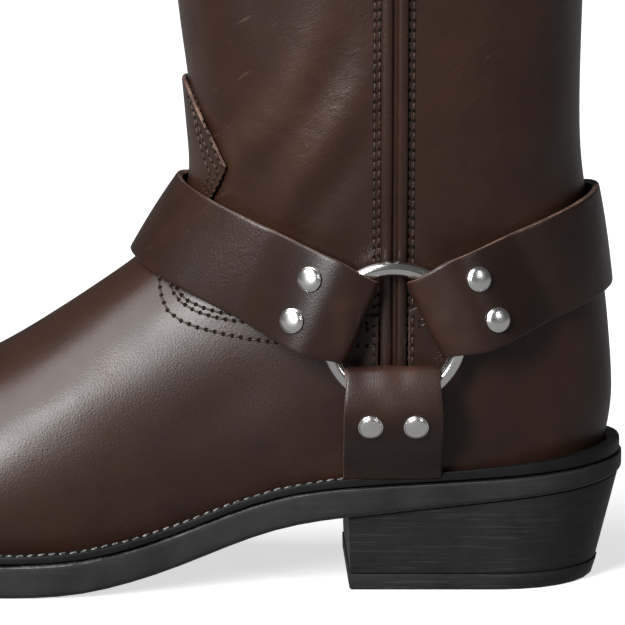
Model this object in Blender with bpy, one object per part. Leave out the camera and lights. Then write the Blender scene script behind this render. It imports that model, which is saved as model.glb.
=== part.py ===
"""Harness boot for the left foot, as closed solids.

Sizes and tables are in millimetres, and make_solid turns them to metres. The toe points to -X, the outer side
of the foot to -Y, and the origin lies on the floor under the middle of the heel.
"""

import math

import bmesh
import bpy
import numpy as np

MM = 0.001
GAP = 0.3

# Driving dimensions
TOE_X = -258.0
BACK_X = 47.7
UPPER_WALL = 2.5
INSOLE_BED = 0.5
INSOLE_THICKNESS = 3.0
INSOLE_MARGIN = 2.4
UPPER_TOE_X = -251.0
UPPER_BACK_X = 41.0
COLLAR_Z = 325.0
SOLE_BED = 0.8
PANEL_BED = 0.3
TONGUE_BED = 0.9
PANEL_THICKNESS = 1.3
STRAP_THICKNESS = 2.4
FOLD_THICKNESS = 2.0
FOLD_INSET = 1.7
INSET_RANGE = (2.0, 16.0)
RING_X = -24.9
RING_Z = 83.2
RING_RADIUS = 20.2
WIRE_RADIUS = 2.3
RING_SEAT = 38.0
RETURN_BED = 2.4
RIVET_RADIUS = 3.75
RIVET_HEIGHT = 1.9
TOP_LIFT = 5.2
SEAM_X = -24.8
SEAM_HALF_WIDTH = 4.3
SEAM_STRAIGHT_FROM = 150.0

SOLE_POINTS = 64
WELT_POINTS = 60

# Sole from the side: x, height of the underside, thickness of the outsole, thickness of the welt
SOLE_SIDE = (
    (-258.0, 12.2, 10.2, 2.4),
    (-240.0, 7.6, 10.2, 2.4),
    (-215.0, 3.0, 10.2, 2.4),
    (-190.0, 0.5, 10.2, 2.4),
    (-172.0, 0.0, 10.2, 2.4),
    (-130.0, 0.0, 10.2, 2.4),
    (-114.5, 2.0, 10.2, 2.4),
    (-94.0, 7.6, 10.2, 2.4),
    (-73.5, 15.9, 10.1, 2.4),
    (-53.0, 22.4, 9.6, 2.5),
    (-39.2, 23.9, 9.3, 2.7),
    (-15.0, 26.4, 8.2, 2.8),
    (15.0, 29.7, 6.7, 3.3),
    (47.7, 33.1, 6.0, 4.2),
)

# Sole from below: x, middle of the width, half of the width
SOLE_PLAN = (
    (-258.0, 9.4, 42.0),
    (-215.0, 9.3, 42.4),
    (-190.0, 8.8, 46.5),
    (-160.0, 7.4, 49.4),
    (-130.0, 5.0, 48.2),
    (-100.0, 0.7, 39.5),
    (-70.0, -0.9, 35.6),
    (-40.0, -0.6, 35.6),
    (-10.0, -0.2, 35.2),
    (47.7, 0.0, 34.6),
)
SOLE_TOE_CAP = (-202.0, 2.35)
SOLE_HEEL_CAP = (12.0, 2.05)
SOLE_EDGE_BEVEL = 1.2
WELT_LEDGE = 0.8
WELT_BED = 0.5
WELT_ROW = 0.35
INSOLE_ROW = 0.3
INSOLE_TRIM = 3.2

# Last of the foot: x, ridge height, ridge y, outer y, inner y, height of the widest line
FOOT = (
    (-251.0, 46.0, 9.0, -30.0, 47.0, 30.0),
    (-220.0, 45.8, 9.0, -29.0, 46.6, 28.5),
    (-205.0, 49.0, 8.6, -30.2, 47.0, 27.5),
    (-180.0, 55.2, 7.6, -33.6, 48.4, 26.5),
    (-160.0, 62.6, 6.5, -36.0, 48.4, 26.5),
    (-147.0, 69.0, 5.6, -37.0, 47.0, 27.5),
    (-134.0, 77.0, 4.6, -37.0, 44.4, 29.5),
    (-122.0, 85.4, 3.6, -36.2, 41.0, 32.5),
    (-112.0, 92.0, 2.8, -35.2, 37.8, 35.5),
    (-103.0, 98.2, 2.0, -34.4, 35.2, 38.5),
    (-90.0, 107.0, 1.2, -33.4, 31.8, 42.5),
    (-75.0, 114.0, 0.6, -32.4, 29.4, 47.0),
    (-50.0, 114.0, 0.0, -31.0, 28.6, 52.0),
    (0.0, 96.0, 0.0, -28.0, 28.0, 50.0),
    (36.0, 80.0, 0.0, -26.0, 26.0, 48.0),
)
FOOT_TOE_CAP = (-208.0, 2.4)
FOOT_HEEL_CAP = (-24.0, 2.0)
FOOT_TOP_CAP = (-214.0, 2.3)
FOOT_BACK_X = 36.0
FOOT_EXPONENT = 2.15
TUCK_LENGTH = 0.016
TUCK_WIDTH = 0.085

# Shaft and heel: height, front x, back x, half of the width
SHAFT = (
    (26.0, -66.0, 37.6, 28.6),
    (40.0, -68.0, 39.8, 31.6),
    (50.0, -70.0, 41.9, 33.9),
    (58.0, -72.0, 42.7, 35.5),
    (75.0, -76.0, 41.7, 37.3),
    (90.0, -79.0, 40.2, 38.0),
    (104.0, -82.0, 38.2, 38.8),
    (120.0, -84.5, 35.7, 41.2),
    (138.0, -86.3, 33.4, 44.8),
    (157.0, -87.9, 33.2, 47.6),
    (179.0, -91.4, 34.0, 49.8),
    (215.0, -93.6, 34.8, 52.0),
    (260.0, -95.4, 35.6, 54.0),
    (325.0, -97.4, 37.0, 56.0),
)
SHAFT_EXPONENT = 2.25

# Width of the soft blend between foot and shaft, from the throat to the back
BLEND = ((-90.0, 24.0), (-60.0, 16.0), (-30.0, 6.0), (0.0, 2.0))

# Rows of the upper's wall: front x, front height, back height, straightness of the row
UPPER_ROWS = (
    (-251.0, 24.6, 44.0, 0.10),
    (-251.0, 30.0, 49.5, 0.25),
    (-249.0, 36.0, 56.0, 0.45),
    (-243.0, 41.0, 62.0, 0.65),
    (-228.0, 45.0, 68.0, 0.85),
    (-205.0, 49.4, 74.0, 1.0),
    (-180.0, 55.2, 80.0, 1.0),
    (-160.0, 62.6, 86.0, 1.0),
    (-142.0, 72.0, 92.0, 1.0),
    (-127.0, 81.8, 98.0, 1.0),
    (-113.0, 91.4, 104.0, 1.0),
    (-102.0, 101.0, 110.0, 1.0),
    (-93.0, 112.0, 117.0, 1.0),
    (-88.0, 125.0, 127.0, 1.0),
    (-87.0, 140.0, 140.0, 1.0),
    (-88.0, 157.0, 157.0, 1.0),
    (-91.0, 179.0, 179.0, 1.0),
    (-93.0, 208.0, 208.0, 1.0),
    (-95.0, 245.0, 245.0, 1.0),
    (-96.0, 285.0, 285.0, 1.0),
    (-97.0, 325.0, 325.0, 1.0),
)
RAY_WIDTH = 45.0

# Upper edge of the vamp from the side seam to the tongue's neck, and the tongue's edge: x, height
VAMP_EDGE = ((-90.0, 97.5), (-87.0, 92.4), (-83.0, 90.9), (-76.0, 88.8), (-20.0, 87.2))
TONGUE_EDGE = (
    (100.0, -90.0),
    (108.0, -86.5),
    (115.0, -82.5),
    (122.5, -78.8),
    (131.0, -74.7),
    (138.0, -77.6),
    (147.0, -82.6),
    (156.5, -87.2),
)
TONGUE_NECK_ROW = 12.0

# Columns of the wall: from the outer seam to the tongue's neck, across the neck, and round the back
SIDE_COLUMNS = 10
NECK_COLUMNS = 8
BACK_COLUMNS = 16
PANEL_ROWS = 11
TONGUE_ROWS = 7
COUNTER_EDGE = ((-24.0, 86.5), (-15.0, 93.0), (8.0, 101.0), (42.0, 106.0))

# Edges of the straps from the side, as lines: x, height and slope
INSTEP_LOWER = (-45.4, 74.3, -0.455)
INSTEP_UPPER = (-35.1, 104.1, -0.384)
HEEL_LOWER = (-9.2, 74.1, 0.357)
HEEL_UPPER = (-17.0, 103.3, 0.356)
INSTEP_FOLD = (-40.3, -28.1)
HEEL_FOLD = (-9.3, -22.0)
SOLE_STRAP_EDGES = (-40.2, -9.7)
SOLE_STRAP_FOLD = 73.0
INSTEP_BED = 2.9
STRAP_BED = 2.2
LOOP_TOP = RETURN_BED + FOLD_THICKNESS + 2 * WIRE_RADIUS + 2 * GAP
LOOP_INNER_RADIUS = WIRE_RADIUS + GAP
PLANAR_LENGTH = 12.0
SETTLED_LENGTH = 37.0
RETURN_LENGTH = 25.0
RIVET_FROM_FOLD = 18.6
SOLE_RIVET_FROM_FOLD = 16.0
RIVET_SPACING = 13.8
STRAP_REACH = 160.0
STRAP_OVERRUN = 0.15 * math.pi
STRAP_MIDDLE_STEPS = 24
SOLE_STRAP_INSET = 0.6


class Profile:
    """A smooth curve through the rows of a table, from one column to another, with no overshoot."""

    def __init__(self, rows, key, value):
        order = sorted(rows, key=lambda row: row[key])
        self.x = np.array([row[key] for row in order])
        self.y = np.array([row[value] for row in order])
        slope = np.diff(self.y) / np.diff(self.x)
        tangent = np.concatenate([slope[:1], np.zeros(len(slope) - 1), slope[-1:]])
        same = slope[:-1] * slope[1:] > 0
        total = np.where(same, slope[:-1] + slope[1:], 1.0)
        tangent[1:-1] = np.where(same, 2 * slope[:-1] * slope[1:] / total, 0.0)
        self.tangent = tangent

    def __call__(self, at):
        at = np.clip(at, self.x[0], self.x[-1])
        i = np.clip(np.searchsorted(self.x, at, side="right") - 1, 0, len(self.x) - 2)
        width = self.x[i + 1] - self.x[i]
        t = (at - self.x[i]) / width
        start = self.y[i] * (1 + 2 * t) * (1 - t) ** 2 + self.tangent[i] * width * t * (1 - t) ** 2
        end = self.y[i + 1] * t**2 * (3 - 2 * t) + self.tangent[i + 1] * width * t**2 * (t - 1)
        return start + end


def smoothstep(at, low, high):
    t = np.clip((at - low) / (high - low), 0.0, 1.0)
    return t * t * (3 - 2 * t)


def rounded_end(at, start, end, exponent):
    """1 up to start, then falling to 0 at end along a superellipse."""
    t = np.clip((at - start) / (end - start), 0.0, 1.0)
    return np.maximum(1 - t**exponent, 0.0) ** (1 / exponent)


underside = Profile(SOLE_SIDE, 0, 1)
outsole_thickness = Profile(SOLE_SIDE, 0, 2)
welt_thickness = Profile(SOLE_SIDE, 0, 3)
sole_middle = Profile(SOLE_PLAN, 0, 1)
sole_half_width = Profile(SOLE_PLAN, 0, 2)
foot_ridge = Profile(FOOT, 0, 1)
foot_middle = Profile(FOOT, 0, 2)
foot_outer = Profile(FOOT, 0, 3)
foot_inner = Profile(FOOT, 0, 4)
foot_widest = Profile(FOOT, 0, 5)
shaft_front = Profile(SHAFT, 0, 1)
shaft_back = Profile(SHAFT, 0, 2)
shaft_half_width = Profile(SHAFT, 0, 3)
blend_width = Profile(BLEND, 0, 1)


def outsole_top(x):
    return underside(x) + outsole_thickness(x)


def welt_top(x):
    return outsole_top(x) + WELT_BED + welt_thickness(x)


def foot_field(x, y, z):
    """Rough distance to the foot's form, across the section at x: below 0 inside."""
    widest = foot_widest(x)
    tuck = np.clip((widest - z) / (widest - outsole_top(x)), 0.0, 1.3) ** 2
    middle_x = (UPPER_TOE_X + UPPER_BACK_X) / 2
    x = middle_x + (x - middle_x) / (1 - TUCK_LENGTH * tuck)
    across = (y - foot_middle(x)) / (1 - TUCK_WIDTH * tuck)
    half = np.where(across < 0, foot_middle(x) - foot_outer(x), foot_inner(x) - foot_middle(x))
    half = half * rounded_end(-x, -FOOT_TOE_CAP[0], -UPPER_TOE_X, FOOT_TOE_CAP[1])
    half = half * rounded_end(x, FOOT_HEEL_CAP[0], FOOT_BACK_X, FOOT_HEEL_CAP[1])
    height = foot_ridge(x) - widest
    height = height * rounded_end(-x, -FOOT_TOP_CAP[0], -UPPER_TOE_X, FOOT_TOP_CAP[1])
    across = np.abs(across) + 1e-3
    above = np.maximum(z - widest, 0.0)
    n = FOOT_EXPONENT
    half = np.maximum(half, 1e-4)
    height = np.maximum(height, 1e-4)
    ratio = ((across / half) ** n + (above / height) ** n) ** (1 / n)
    return np.hypot(across, above) * (1 - 1 / ratio)


def shaft_field(x, y, z):
    """Rough distance to the form of shaft and heel, in the level section at z: below 0 inside."""
    front = shaft_front(z)
    back = shaft_back(z)
    along = np.abs(x - (front + back) / 2) + 1e-3
    across = np.abs(y)
    n = SHAFT_EXPONENT
    ratio = ((2 * along / (back - front)) ** n + (across / shaft_half_width(z)) ** n) ** (1 / n)
    return np.hypot(along, across) * (1 - 1 / ratio)


def body_field(x, y, z):
    """The last with its leg: foot and shaft in one, with a soft blend where they meet."""
    foot = foot_field(x, y, z)
    shaft = shaft_field(x, y, z)
    width = blend_width(x)
    mix = np.maximum(width - np.abs(foot - shaft), 0.0) / width
    return np.minimum(foot, shaft) - mix * mix * width / 4


def crossing(field, low, high, steps=26):
    """Where field turns from negative to positive between low and high, for arrays of both."""
    low = np.array(low, float)
    high = np.array(high, float)
    for _ in range(steps):
        middle = (low + high) / 2
        inside = field(middle) < 0
        low = np.where(inside, middle, low)
        high = np.where(inside, high, middle)
    return (low + high) / 2


def body_gradient(x, y, z):
    step = 0.4
    differences = [
        body_field(x + step, y, z) - body_field(x - step, y, z),
        body_field(x, y + step, z) - body_field(x, y - step, z),
        body_field(x, y, z + step) - body_field(x, y, z - step),
    ]
    return np.stack(differences, axis=-1) / (2 * step)


def body_distance(x, y, z):
    """Distance from the body, close to it."""
    return body_field(x, y, z) / np.linalg.norm(body_gradient(x, y, z), axis=-1)


def normal_at(points):
    """Outward unit normals of the body at points."""
    gradient = body_gradient(*points.T)
    return gradient / np.linalg.norm(gradient, axis=1, keepdims=True)


def side_depth(x, z, side):
    """How far the body reaches from y = 0 towards side, at x and height z."""
    return crossing(lambda depth: body_field(x, side * depth, z), 0 * x, 0 * x + 90.0)


def wall_foot(x):
    """Height of the wall's lower edge over the outsole."""
    return outsole_top(x) + SOLE_BED


FIRST_ROW = (UPPER_TOE_X, float(wall_foot(UPPER_TOE_X)), float(wall_foot(UPPER_BACK_X)), 0.0)
ROWS = [FIRST_ROW, *UPPER_ROWS]
LAST_ROW = len(ROWS) - 1


def row_value(row, column):
    return np.interp(row, np.arange(len(ROWS)), [values[column] for values in ROWS])


def row_height(row, x):
    """Height of the wall's row at x. Row 0 follows the sole, and the upper rows are straight lines."""
    front_x = row_value(row, 0)
    front = row_value(row, 1)
    back = row_value(row, 2)
    straight = row_value(row, 3)
    share = (x - front_x) / (UPPER_BACK_X - front_x)
    line = front + (back - front) * share
    rise_front = front - wall_foot(front_x)
    rise_back = back - wall_foot(UPPER_BACK_X)
    curve = wall_foot(x) + rise_front + (rise_back - rise_front) * share
    return straight * line + (1 - straight) * curve


def wall_points(row, angle):
    """Points of the body on the wall's rows. Angle 0 is the back, and negative angles are the outer side."""
    front_x = row_value(row, 0)
    middle_x = (front_x + UPPER_BACK_X) / 2
    middle_y = foot_middle(front_x)
    along = (UPPER_BACK_X - front_x) / 2 * np.cos(angle)
    across = RAY_WIDTH * np.sin(angle)

    def field(reach):
        x = middle_x + reach * along
        return body_field(x, middle_y + reach * across, row_height(row, x))

    reach = crossing(field, 0 * angle, 0 * angle + 1.8)
    x = middle_x + reach * along
    return np.stack([x, middle_y + reach * across, row_height(row, x)], axis=1)


def angle_at_x(row, x, side):
    """The angle of the wall's point at x, on the outer side (-1) or the inner side (1)."""
    found = crossing(lambda angle: x - wall_points(row, side * angle)[:, 0], 0 * row, 0 * row + math.pi)
    return side * found


def offset_points(points, distance):
    return points + normal_at(points) * distance


def offset_wall(row, angle, distance):
    """Points of the wall moved along its normals. The lowest row stays on the sole, the last one at the collar."""
    points = wall_points(row, angle)
    moved = points + normal_at(points) * np.reshape(distance, (-1, 1))
    moved[:, 2] = np.where(row == 0, wall_foot(moved[:, 0]), moved[:, 2])
    moved[:, 2] = np.where(row == LAST_ROW, points[:, 2], moved[:, 2])
    return moved


def clear_scene():
    for obj in list(bpy.data.objects):
        bpy.data.objects.remove(obj, do_unlink=True)


def make_material(name, colour, roughness, metallic=0.0):
    material = bpy.data.materials.new(name)
    material.use_nodes = True
    shader = material.node_tree.nodes["Principled BSDF"]
    shader.inputs["Base Color"].default_value = (*colour, 1.0)
    shader.inputs["Roughness"].default_value = roughness
    shader.inputs["Metallic"].default_value = metallic
    return material


def make_solid(name, points, faces, material):
    """A mesh object from points in millimetres, with its faces turned outwards.

    Four-sided faces are split along the same diagonal, so that sheets on the same grid lie evenly on each other.
    """
    split = []
    for face in faces:
        split += [face] if len(face) != 4 else [(face[0], face[1], face[2]), (face[0], face[2], face[3])]
    mesh = bpy.data.meshes.new(name)
    mesh.from_pydata([tuple(MM * value for value in point) for point in points], [], split)
    shape = bmesh.new()
    shape.from_mesh(mesh)
    bmesh.ops.recalc_face_normals(shape, faces=shape.faces)
    shape.to_mesh(mesh)
    shape.free()
    mesh.materials.append(material)
    mesh.shade_smooth()
    mesh.set_sharp_from_angle(angle=math.radians(35))
    obj = bpy.data.objects.new(name, mesh)
    bpy.context.scene.collection.objects.link(obj)
    return obj


def ring_faces(rings, count, closed):
    """Faces between rings of count points each. With closed, the last ring meets the first."""
    faces = []
    for ring in range(rings if closed else rings - 1):
        here = ring * count
        there = (ring + 1) % rings * count
        for i in range(count):
            j = (i + 1) % count
            faces.append((here + i, here + j, there + j, there + i))
    return faces


def strip_cap(start, count):
    """Faces that close a ring by joining its two halves across. Point 0 is at one end of the ring."""
    half = count // 2
    faces = [(start, start + 1, start + count - 1)]
    for i in range(1, half - 1):
        faces.append((start + i, start + i + 1, start + count - i - 1, start + count - i))
    faces.append((start + half - 1, start + half, start + half + 1))
    return faces


def patch_solid(name, outer, inner, quads, material):
    """A sheet with thickness: outer and inner points with the same quads, and a wall along the open edges."""
    count = len(outer)
    faces = list(quads)
    faces += [tuple(count + quad[i] for i in (0, 3, 2, 1)) for quad in quads]
    edges = set()
    for quad in quads:
        for a, b in zip(quad, quad[1:] + quad[:1]):
            if (b, a) in edges:
                edges.remove((b, a))
            else:
                edges.add((a, b))
    faces += [(b, a, count + a, count + b) for a, b in sorted(edges)]
    return make_solid(name, [*outer, *inner], faces, material)


def seam_angles(x, side):
    """The wall's angles at x, as a function of the row."""
    rows = np.linspace(0, LAST_ROW, 6 * LAST_ROW + 1)
    angles = angle_at_x(rows, 0 * rows + x, side)
    return lambda row: np.interp(row, rows, angles)


def wall_columns():
    """The wall's columns, as a function from a row to the angle of each column.

    Column 0 is the vamp's edge at the outer seam. The angles fall over the toe to the inner seam, and from the
    counter's edge there round the back to the outer seam.
    """
    vamp_x = SEAM_X - SEAM_HALF_WIDTH - GAP
    counter_x = SEAM_X + SEAM_HALF_WIDTH + GAP
    neck_row = np.array([TONGUE_NECK_ROW])
    neck_x = np.array([TONGUE_EDGE[0][1]])
    vamp_outer = seam_angles(vamp_x, -1)
    vamp_inner = seam_angles(vamp_x, 1)
    counter_outer = seam_angles(counter_x, -1)
    counter_inner = seam_angles(counter_x, 1)
    neck_outer = angle_at_x(neck_row, neck_x, -1)[0] + 2 * math.pi
    neck_inner = angle_at_x(neck_row, neck_x, 1)[0]
    side = np.arange(SIDE_COLUMNS) / SIDE_COLUMNS
    neck = np.arange(NECK_COLUMNS) / NECK_COLUMNS
    back = np.arange(BACK_COLUMNS + 1) / BACK_COLUMNS

    def angles(row):
        """Angles of all columns. Row has one value for each column."""
        parts = [
            (vamp_outer(row) + 2 * math.pi, neck_outer + 0 * row, side),
            (neck_outer + 0 * row, neck_inner + 0 * row, neck),
            (neck_inner + 0 * row, vamp_inner(row), np.arange(SIDE_COLUMNS + 1) / SIDE_COLUMNS),
            (counter_inner(row), counter_outer(row), back),
        ]
        found = []
        start = 0
        for first, last, share in parts:
            piece = slice(start, start + len(share))
            found.append(first[piece] + (last[piece] - first[piece]) * share)
            start += len(share)
        return np.concatenate(found)

    return angles


VAMP_COLUMNS = 2 * SIDE_COLUMNS + NECK_COLUMNS + 1
COLUMNS = VAMP_COLUMNS + BACK_COLUMNS + 1


def wall_grid():
    """Rows and angles of the wall's grid. Grid row PANEL_ROWS follows the edges of vamp and counter."""
    angles = wall_columns()
    vamp_edge = Profile(VAMP_EDGE, 0, 1)
    counter_edge = Profile(COUNTER_EDGE, 0, 1)
    column = np.arange(COLUMNS)
    in_vamp = column < VAMP_COLUMNS

    def height_over_edge(row):
        x, _, z = wall_points(row, angles(row)).T
        return z - np.where(in_vamp, vamp_edge(x), counter_edge(x))

    top = crossing(height_over_edge, np.full(COLUMNS, 2.0), np.full(COLUMNS, TONGUE_NECK_ROW + 1.5))
    in_neck = (column >= SIDE_COLUMNS) & (column <= SIDE_COLUMNS + NECK_COLUMNS)
    top = np.where(in_neck, TONGUE_NECK_ROW, top)
    rows = [top * step / PANEL_ROWS for step in range(PANEL_ROWS + 1)]
    for plain in range(int(TONGUE_NECK_ROW) + 1, LAST_ROW + 1):
        share = (plain - TONGUE_NECK_ROW) / (LAST_ROW - TONGUE_NECK_ROW)
        rows.append(top + (LAST_ROW - top) * share)
    return np.array(rows), np.array([angles(row) for row in rows])


def build_upper(rows, angles, material):
    count = len(rows)
    outer = offset_wall(rows.ravel(), angles.ravel(), 0.0).reshape(count, COLUMNS, 3)
    inner = offset_wall(rows.ravel(), angles.ravel(), -UPPER_WALL).reshape(count, COLUMNS, 3)
    rings = np.concatenate([outer, inner[::-1]])
    faces = ring_faces(len(rings), COLUMNS, closed=True)
    return make_solid("upper", rings.reshape(-1, 3), faces, material)


def grid_quads(rows, columns):
    quads = []
    for row in range(rows):
        for i in range(columns):
            a = row * (columns + 1) + i
            quads.append((a, a + 1, a + columns + 2, a + columns + 1))
    return quads


def panel_solid(name, rows, angles, bed, quads, material):
    outer = offset_wall(rows, angles, bed + PANEL_THICKNESS)
    inner = offset_wall(rows, angles, bed)
    return patch_solid(name, outer, inner, quads, material)


def build_vamp(rows, angles, material):
    """The vamp is the wall's own grid below its edge, with the tongue's tab on top of the neck."""
    quads = grid_quads(PANEL_ROWS, VAMP_COLUMNS - 1)
    row_list = [rows[: PANEL_ROWS + 1, :VAMP_COLUMNS].ravel()]
    angle_list = [angles[: PANEL_ROWS + 1, :VAMP_COLUMNS].ravel()]
    below = PANEL_ROWS * VAMP_COLUMNS + SIDE_COLUMNS
    start = (PANEL_ROWS + 1) * VAMP_COLUMNS
    edge = Profile(TONGUE_EDGE, 0, 1)
    share = np.arange(NECK_COLUMNS + 1) / NECK_COLUMNS
    heights = np.linspace(TONGUE_EDGE[1][0], TONGUE_EDGE[-1][0], TONGUE_ROWS)
    neck_x = row_value(TONGUE_NECK_ROW, 0)
    tongue = crossing(lambda row: row_height(row, neck_x) - heights, 0 * heights, 0 * heights + LAST_ROW)
    outer = angle_at_x(tongue, edge(heights), -1) + 2 * math.pi
    inner = angle_at_x(tongue, edge(heights), 1)
    for step in range(TONGUE_ROWS):
        row_list.append(np.repeat(tongue[step], NECK_COLUMNS + 1))
        angle_list.append(outer[step] + (inner[step] - outer[step]) * share)
        for i in range(NECK_COLUMNS):
            quads.append((below + i, below + i + 1, start + i + 1, start + i))
        below = start
        start += NECK_COLUMNS + 1
    rows = np.concatenate(row_list)
    bed = np.where(np.arange(len(rows)) < (PANEL_ROWS + 1) * VAMP_COLUMNS, PANEL_BED, TONGUE_BED)
    return panel_solid("vamp", rows, np.concatenate(angle_list), bed, quads, material)


def build_counter(rows, angles, material):
    quads = grid_quads(PANEL_ROWS, BACK_COLUMNS)
    part = (slice(0, PANEL_ROWS + 1), slice(VAMP_COLUMNS, COLUMNS))
    return panel_solid("counter", rows[part].ravel(), angles[part].ravel(), PANEL_BED, quads, material)


# Section of the raised side seam: distance from its middle, height above its bed
SEAM_SECTION = (
    (-4.3, 0.0),
    (-4.0, 1.0),
    (-2.2, 1.5),
    (-0.6, 1.2),
    (0.0, 0.3),
    (0.6, 1.2),
    (2.2, 1.5),
    (4.0, 1.0),
    (4.3, 0.0),
)


def build_side_seam(name, side, material):
    count = len(SEAM_SECTION)
    bottom = float(welt_top(SEAM_X)) + GAP
    ankle = np.linspace(bottom, SEAM_STRAIGHT_FROM, 10)
    heights = np.concatenate([ankle, np.linspace(SEAM_STRAIGHT_FROM, COLLAR_Z, 6)[1:]])
    x = np.tile([SEAM_X + along for along, _ in SEAM_SECTION], len(heights))
    z = np.repeat(heights, count)
    points = np.stack([x, side * side_depth(x, z, side), z], axis=1)
    lift = np.tile([PANEL_BED + height for _, height in SEAM_SECTION], len(heights))
    normals = normal_at(points)
    normals[:, 2] = 0.0
    points = points + normals * lift[:, None]
    faces = ring_faces(len(heights), count, closed=False)
    faces.append(tuple(range(count)))
    last = (len(heights) - 1) * count
    faces.append(tuple(last + i for i in range(count)))
    return make_solid(name, points, faces, material)


def sole_half(x):
    """Half of the sole's width at x, with its rounded ends."""
    toe = rounded_end(-x, -SOLE_TOE_CAP[0], -TOE_X, SOLE_TOE_CAP[1])
    heel = rounded_end(x, SOLE_HEEL_CAP[0], BACK_X, SOLE_HEEL_CAP[1])
    return sole_half_width(x) * toe * heel


def sole_outline(inset):
    """The sole's outline from the back over the outer side to the toe and home, moved inwards by inset."""
    angle = np.arange(SOLE_POINTS) * 2 * math.pi / SOLE_POINTS
    x = (TOE_X + BACK_X) / 2 + (BACK_X - TOE_X) / 2 * np.cos(angle)
    side = np.sign(np.round(np.sin(angle), 9))
    outline = np.stack([x, sole_middle(x) - sole_half(x) * side], axis=1)
    along = np.roll(outline, -1, axis=0) - np.roll(outline, 1, axis=0)
    inward = np.stack([along[:, 1], -along[:, 0]], axis=1)
    inward /= np.linalg.norm(inward, axis=1, keepdims=True)
    return outline + inward * inset


def with_height(outline, height):
    return np.column_stack([outline, height + 0 * outline[:, 0]])


def stacked_solid(name, rings, material):
    """A solid from closed rings, one above the other, closed across at both ends."""
    count = len(rings[0])
    faces = ring_faces(len(rings), count, closed=False)
    faces += strip_cap(0, count)
    faces += strip_cap((len(rings) - 1) * count, count)
    return make_solid(name, np.concatenate(rings), faces, material)


def build_outsole(material):
    edge = sole_outline(0.0)
    bottom = sole_outline(SOLE_EDGE_BEVEL)
    rings = [
        with_height(bottom, underside(bottom[:, 0])),
        with_height(edge, underside(edge[:, 0]) + SOLE_EDGE_BEVEL),
        with_height(edge, outsole_top(edge[:, 0])),
    ]
    return stacked_solid("outsole", rings, material)


def outline_reach(centre, direction):
    """How far the sole's outline lies from centre along each direction."""

    def field(reach):
        x = centre[0] + reach * direction[:, 0]
        y = centre[1] + reach * direction[:, 1]
        return np.abs(y - sole_middle(x)) - sole_half(x)

    return crossing(field, np.zeros(len(direction)), np.full(len(direction), 2.0))


def build_welt(material):
    inner_gap = PANEL_BED + PANEL_THICKNESS + 3 * GAP
    count = WELT_POINTS
    angle = np.arange(count) * 2 * math.pi / count
    foot = offset_points(wall_points(0 * angle + WELT_ROW, angle), inner_gap)[:, :2]
    centre = np.array([(UPPER_TOE_X + UPPER_BACK_X) / 2, float(foot_middle(UPPER_TOE_X))])
    direction = foot - centre
    edge = centre + direction * outline_reach(centre, direction)[:, None]
    along = np.roll(edge, -1, axis=0) - np.roll(edge, 1, axis=0)
    inward = np.stack([-along[:, 1], along[:, 0]], axis=1)
    edge = edge + inward / np.linalg.norm(inward, axis=1, keepdims=True) * WELT_LEDGE
    rings = [
        with_height(foot, outsole_top(foot[:, 0]) + WELT_BED),
        with_height(edge, outsole_top(edge[:, 0]) + WELT_BED),
        with_height(edge, welt_top(edge[:, 0])),
        with_height(foot, welt_top(foot[:, 0])),
    ]
    faces = ring_faces(4, count, closed=True)
    return make_solid("welt", np.concatenate(rings), faces, material)


def insole_outline():
    """The inside of the wall just above the outsole, with its points in pairs across from each other."""
    angle = np.linspace(-math.pi, math.pi, 360, endpoint=False)
    rim = offset_points(wall_points(0 * angle + INSOLE_ROW, angle), -UPPER_WALL - INSOLE_MARGIN)[:, :2]
    following = np.roll(rim, -1, axis=0)
    toe_x = rim[:, 0].min() + INSOLE_TRIM
    back_x = rim[:, 0].max() - INSOLE_TRIM
    outline = []
    for turn in np.arange(SOLE_POINTS) * 2 * math.pi / SOLE_POINTS:
        x = (toe_x + back_x) / 2 + (back_x - toe_x) / 2 * math.cos(turn)
        meets = (rim[:, 0] <= x) != (following[:, 0] <= x)
        share = (x - rim[meets, 0]) / (following[meets, 0] - rim[meets, 0])
        y = rim[meets, 1] + share * (following[meets, 1] - rim[meets, 1])
        side = round(math.sin(turn), 9)
        across = y.min() if side > 0 else y.max() if side < 0 else (y.min() + y.max()) / 2
        outline.append((x, across))
    return np.array(outline)


def build_insole(material):
    outline = insole_outline()
    low = outsole_top(outline[:, 0]) + INSOLE_BED
    rings = [with_height(outline, low), with_height(outline, low + INSOLE_THICKNESS)]
    return stacked_solid("insole", rings, material)


# Heel block: share of the height from the floor to the seat, breast x, back x, half of the width
HEEL_ROWS = ((0.0, -39.0, 38.6, 29.6), (1.0, -39.4, 46.6, 33.4))
BREAST_SLANT = 0.9


def heel_outline(share, inset=0.0):
    """A straight breast, nearly straight sides and a round back. Points run from the breast's outer corner."""
    breast, back, half = (
        HEEL_ROWS[0][column] * (1 - share) + HEEL_ROWS[1][column] * share for column in (1, 2, 3)
    )
    side_points = 4
    back_points = 14
    breast += inset
    back -= inset
    half -= inset
    round_x = back - 1.02 * half
    outline = [(breast + (round_x - breast) * i / side_points, -half) for i in range(side_points)]
    for i in range(back_points + 1):
        angle = -math.pi / 2 + math.pi * i / back_points
        across = math.sin(angle)
        outline.append((round_x + (back - round_x) * math.cos(angle), half * across))
    outline += [(x, -y) for x, y in reversed(outline[:side_points])]
    outline[0] = (outline[0][0] + BREAST_SLANT, outline[0][1])
    outline[-1] = (outline[-1][0] - BREAST_SLANT, outline[-1][1])
    return np.array(outline)


def breast_cap(start, count):
    """Faces that close a heel ring by joining its outer and inner sides across."""
    faces = []
    for i in range(count // 2 - 1):
        faces.append((start + i, start + i + 1, start + count - 2 - i, start + count - 1 - i))
    if count % 2:
        middle = count // 2
        faces.append((start + middle - 1, start + middle, start + middle + 1))
    return faces


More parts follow.
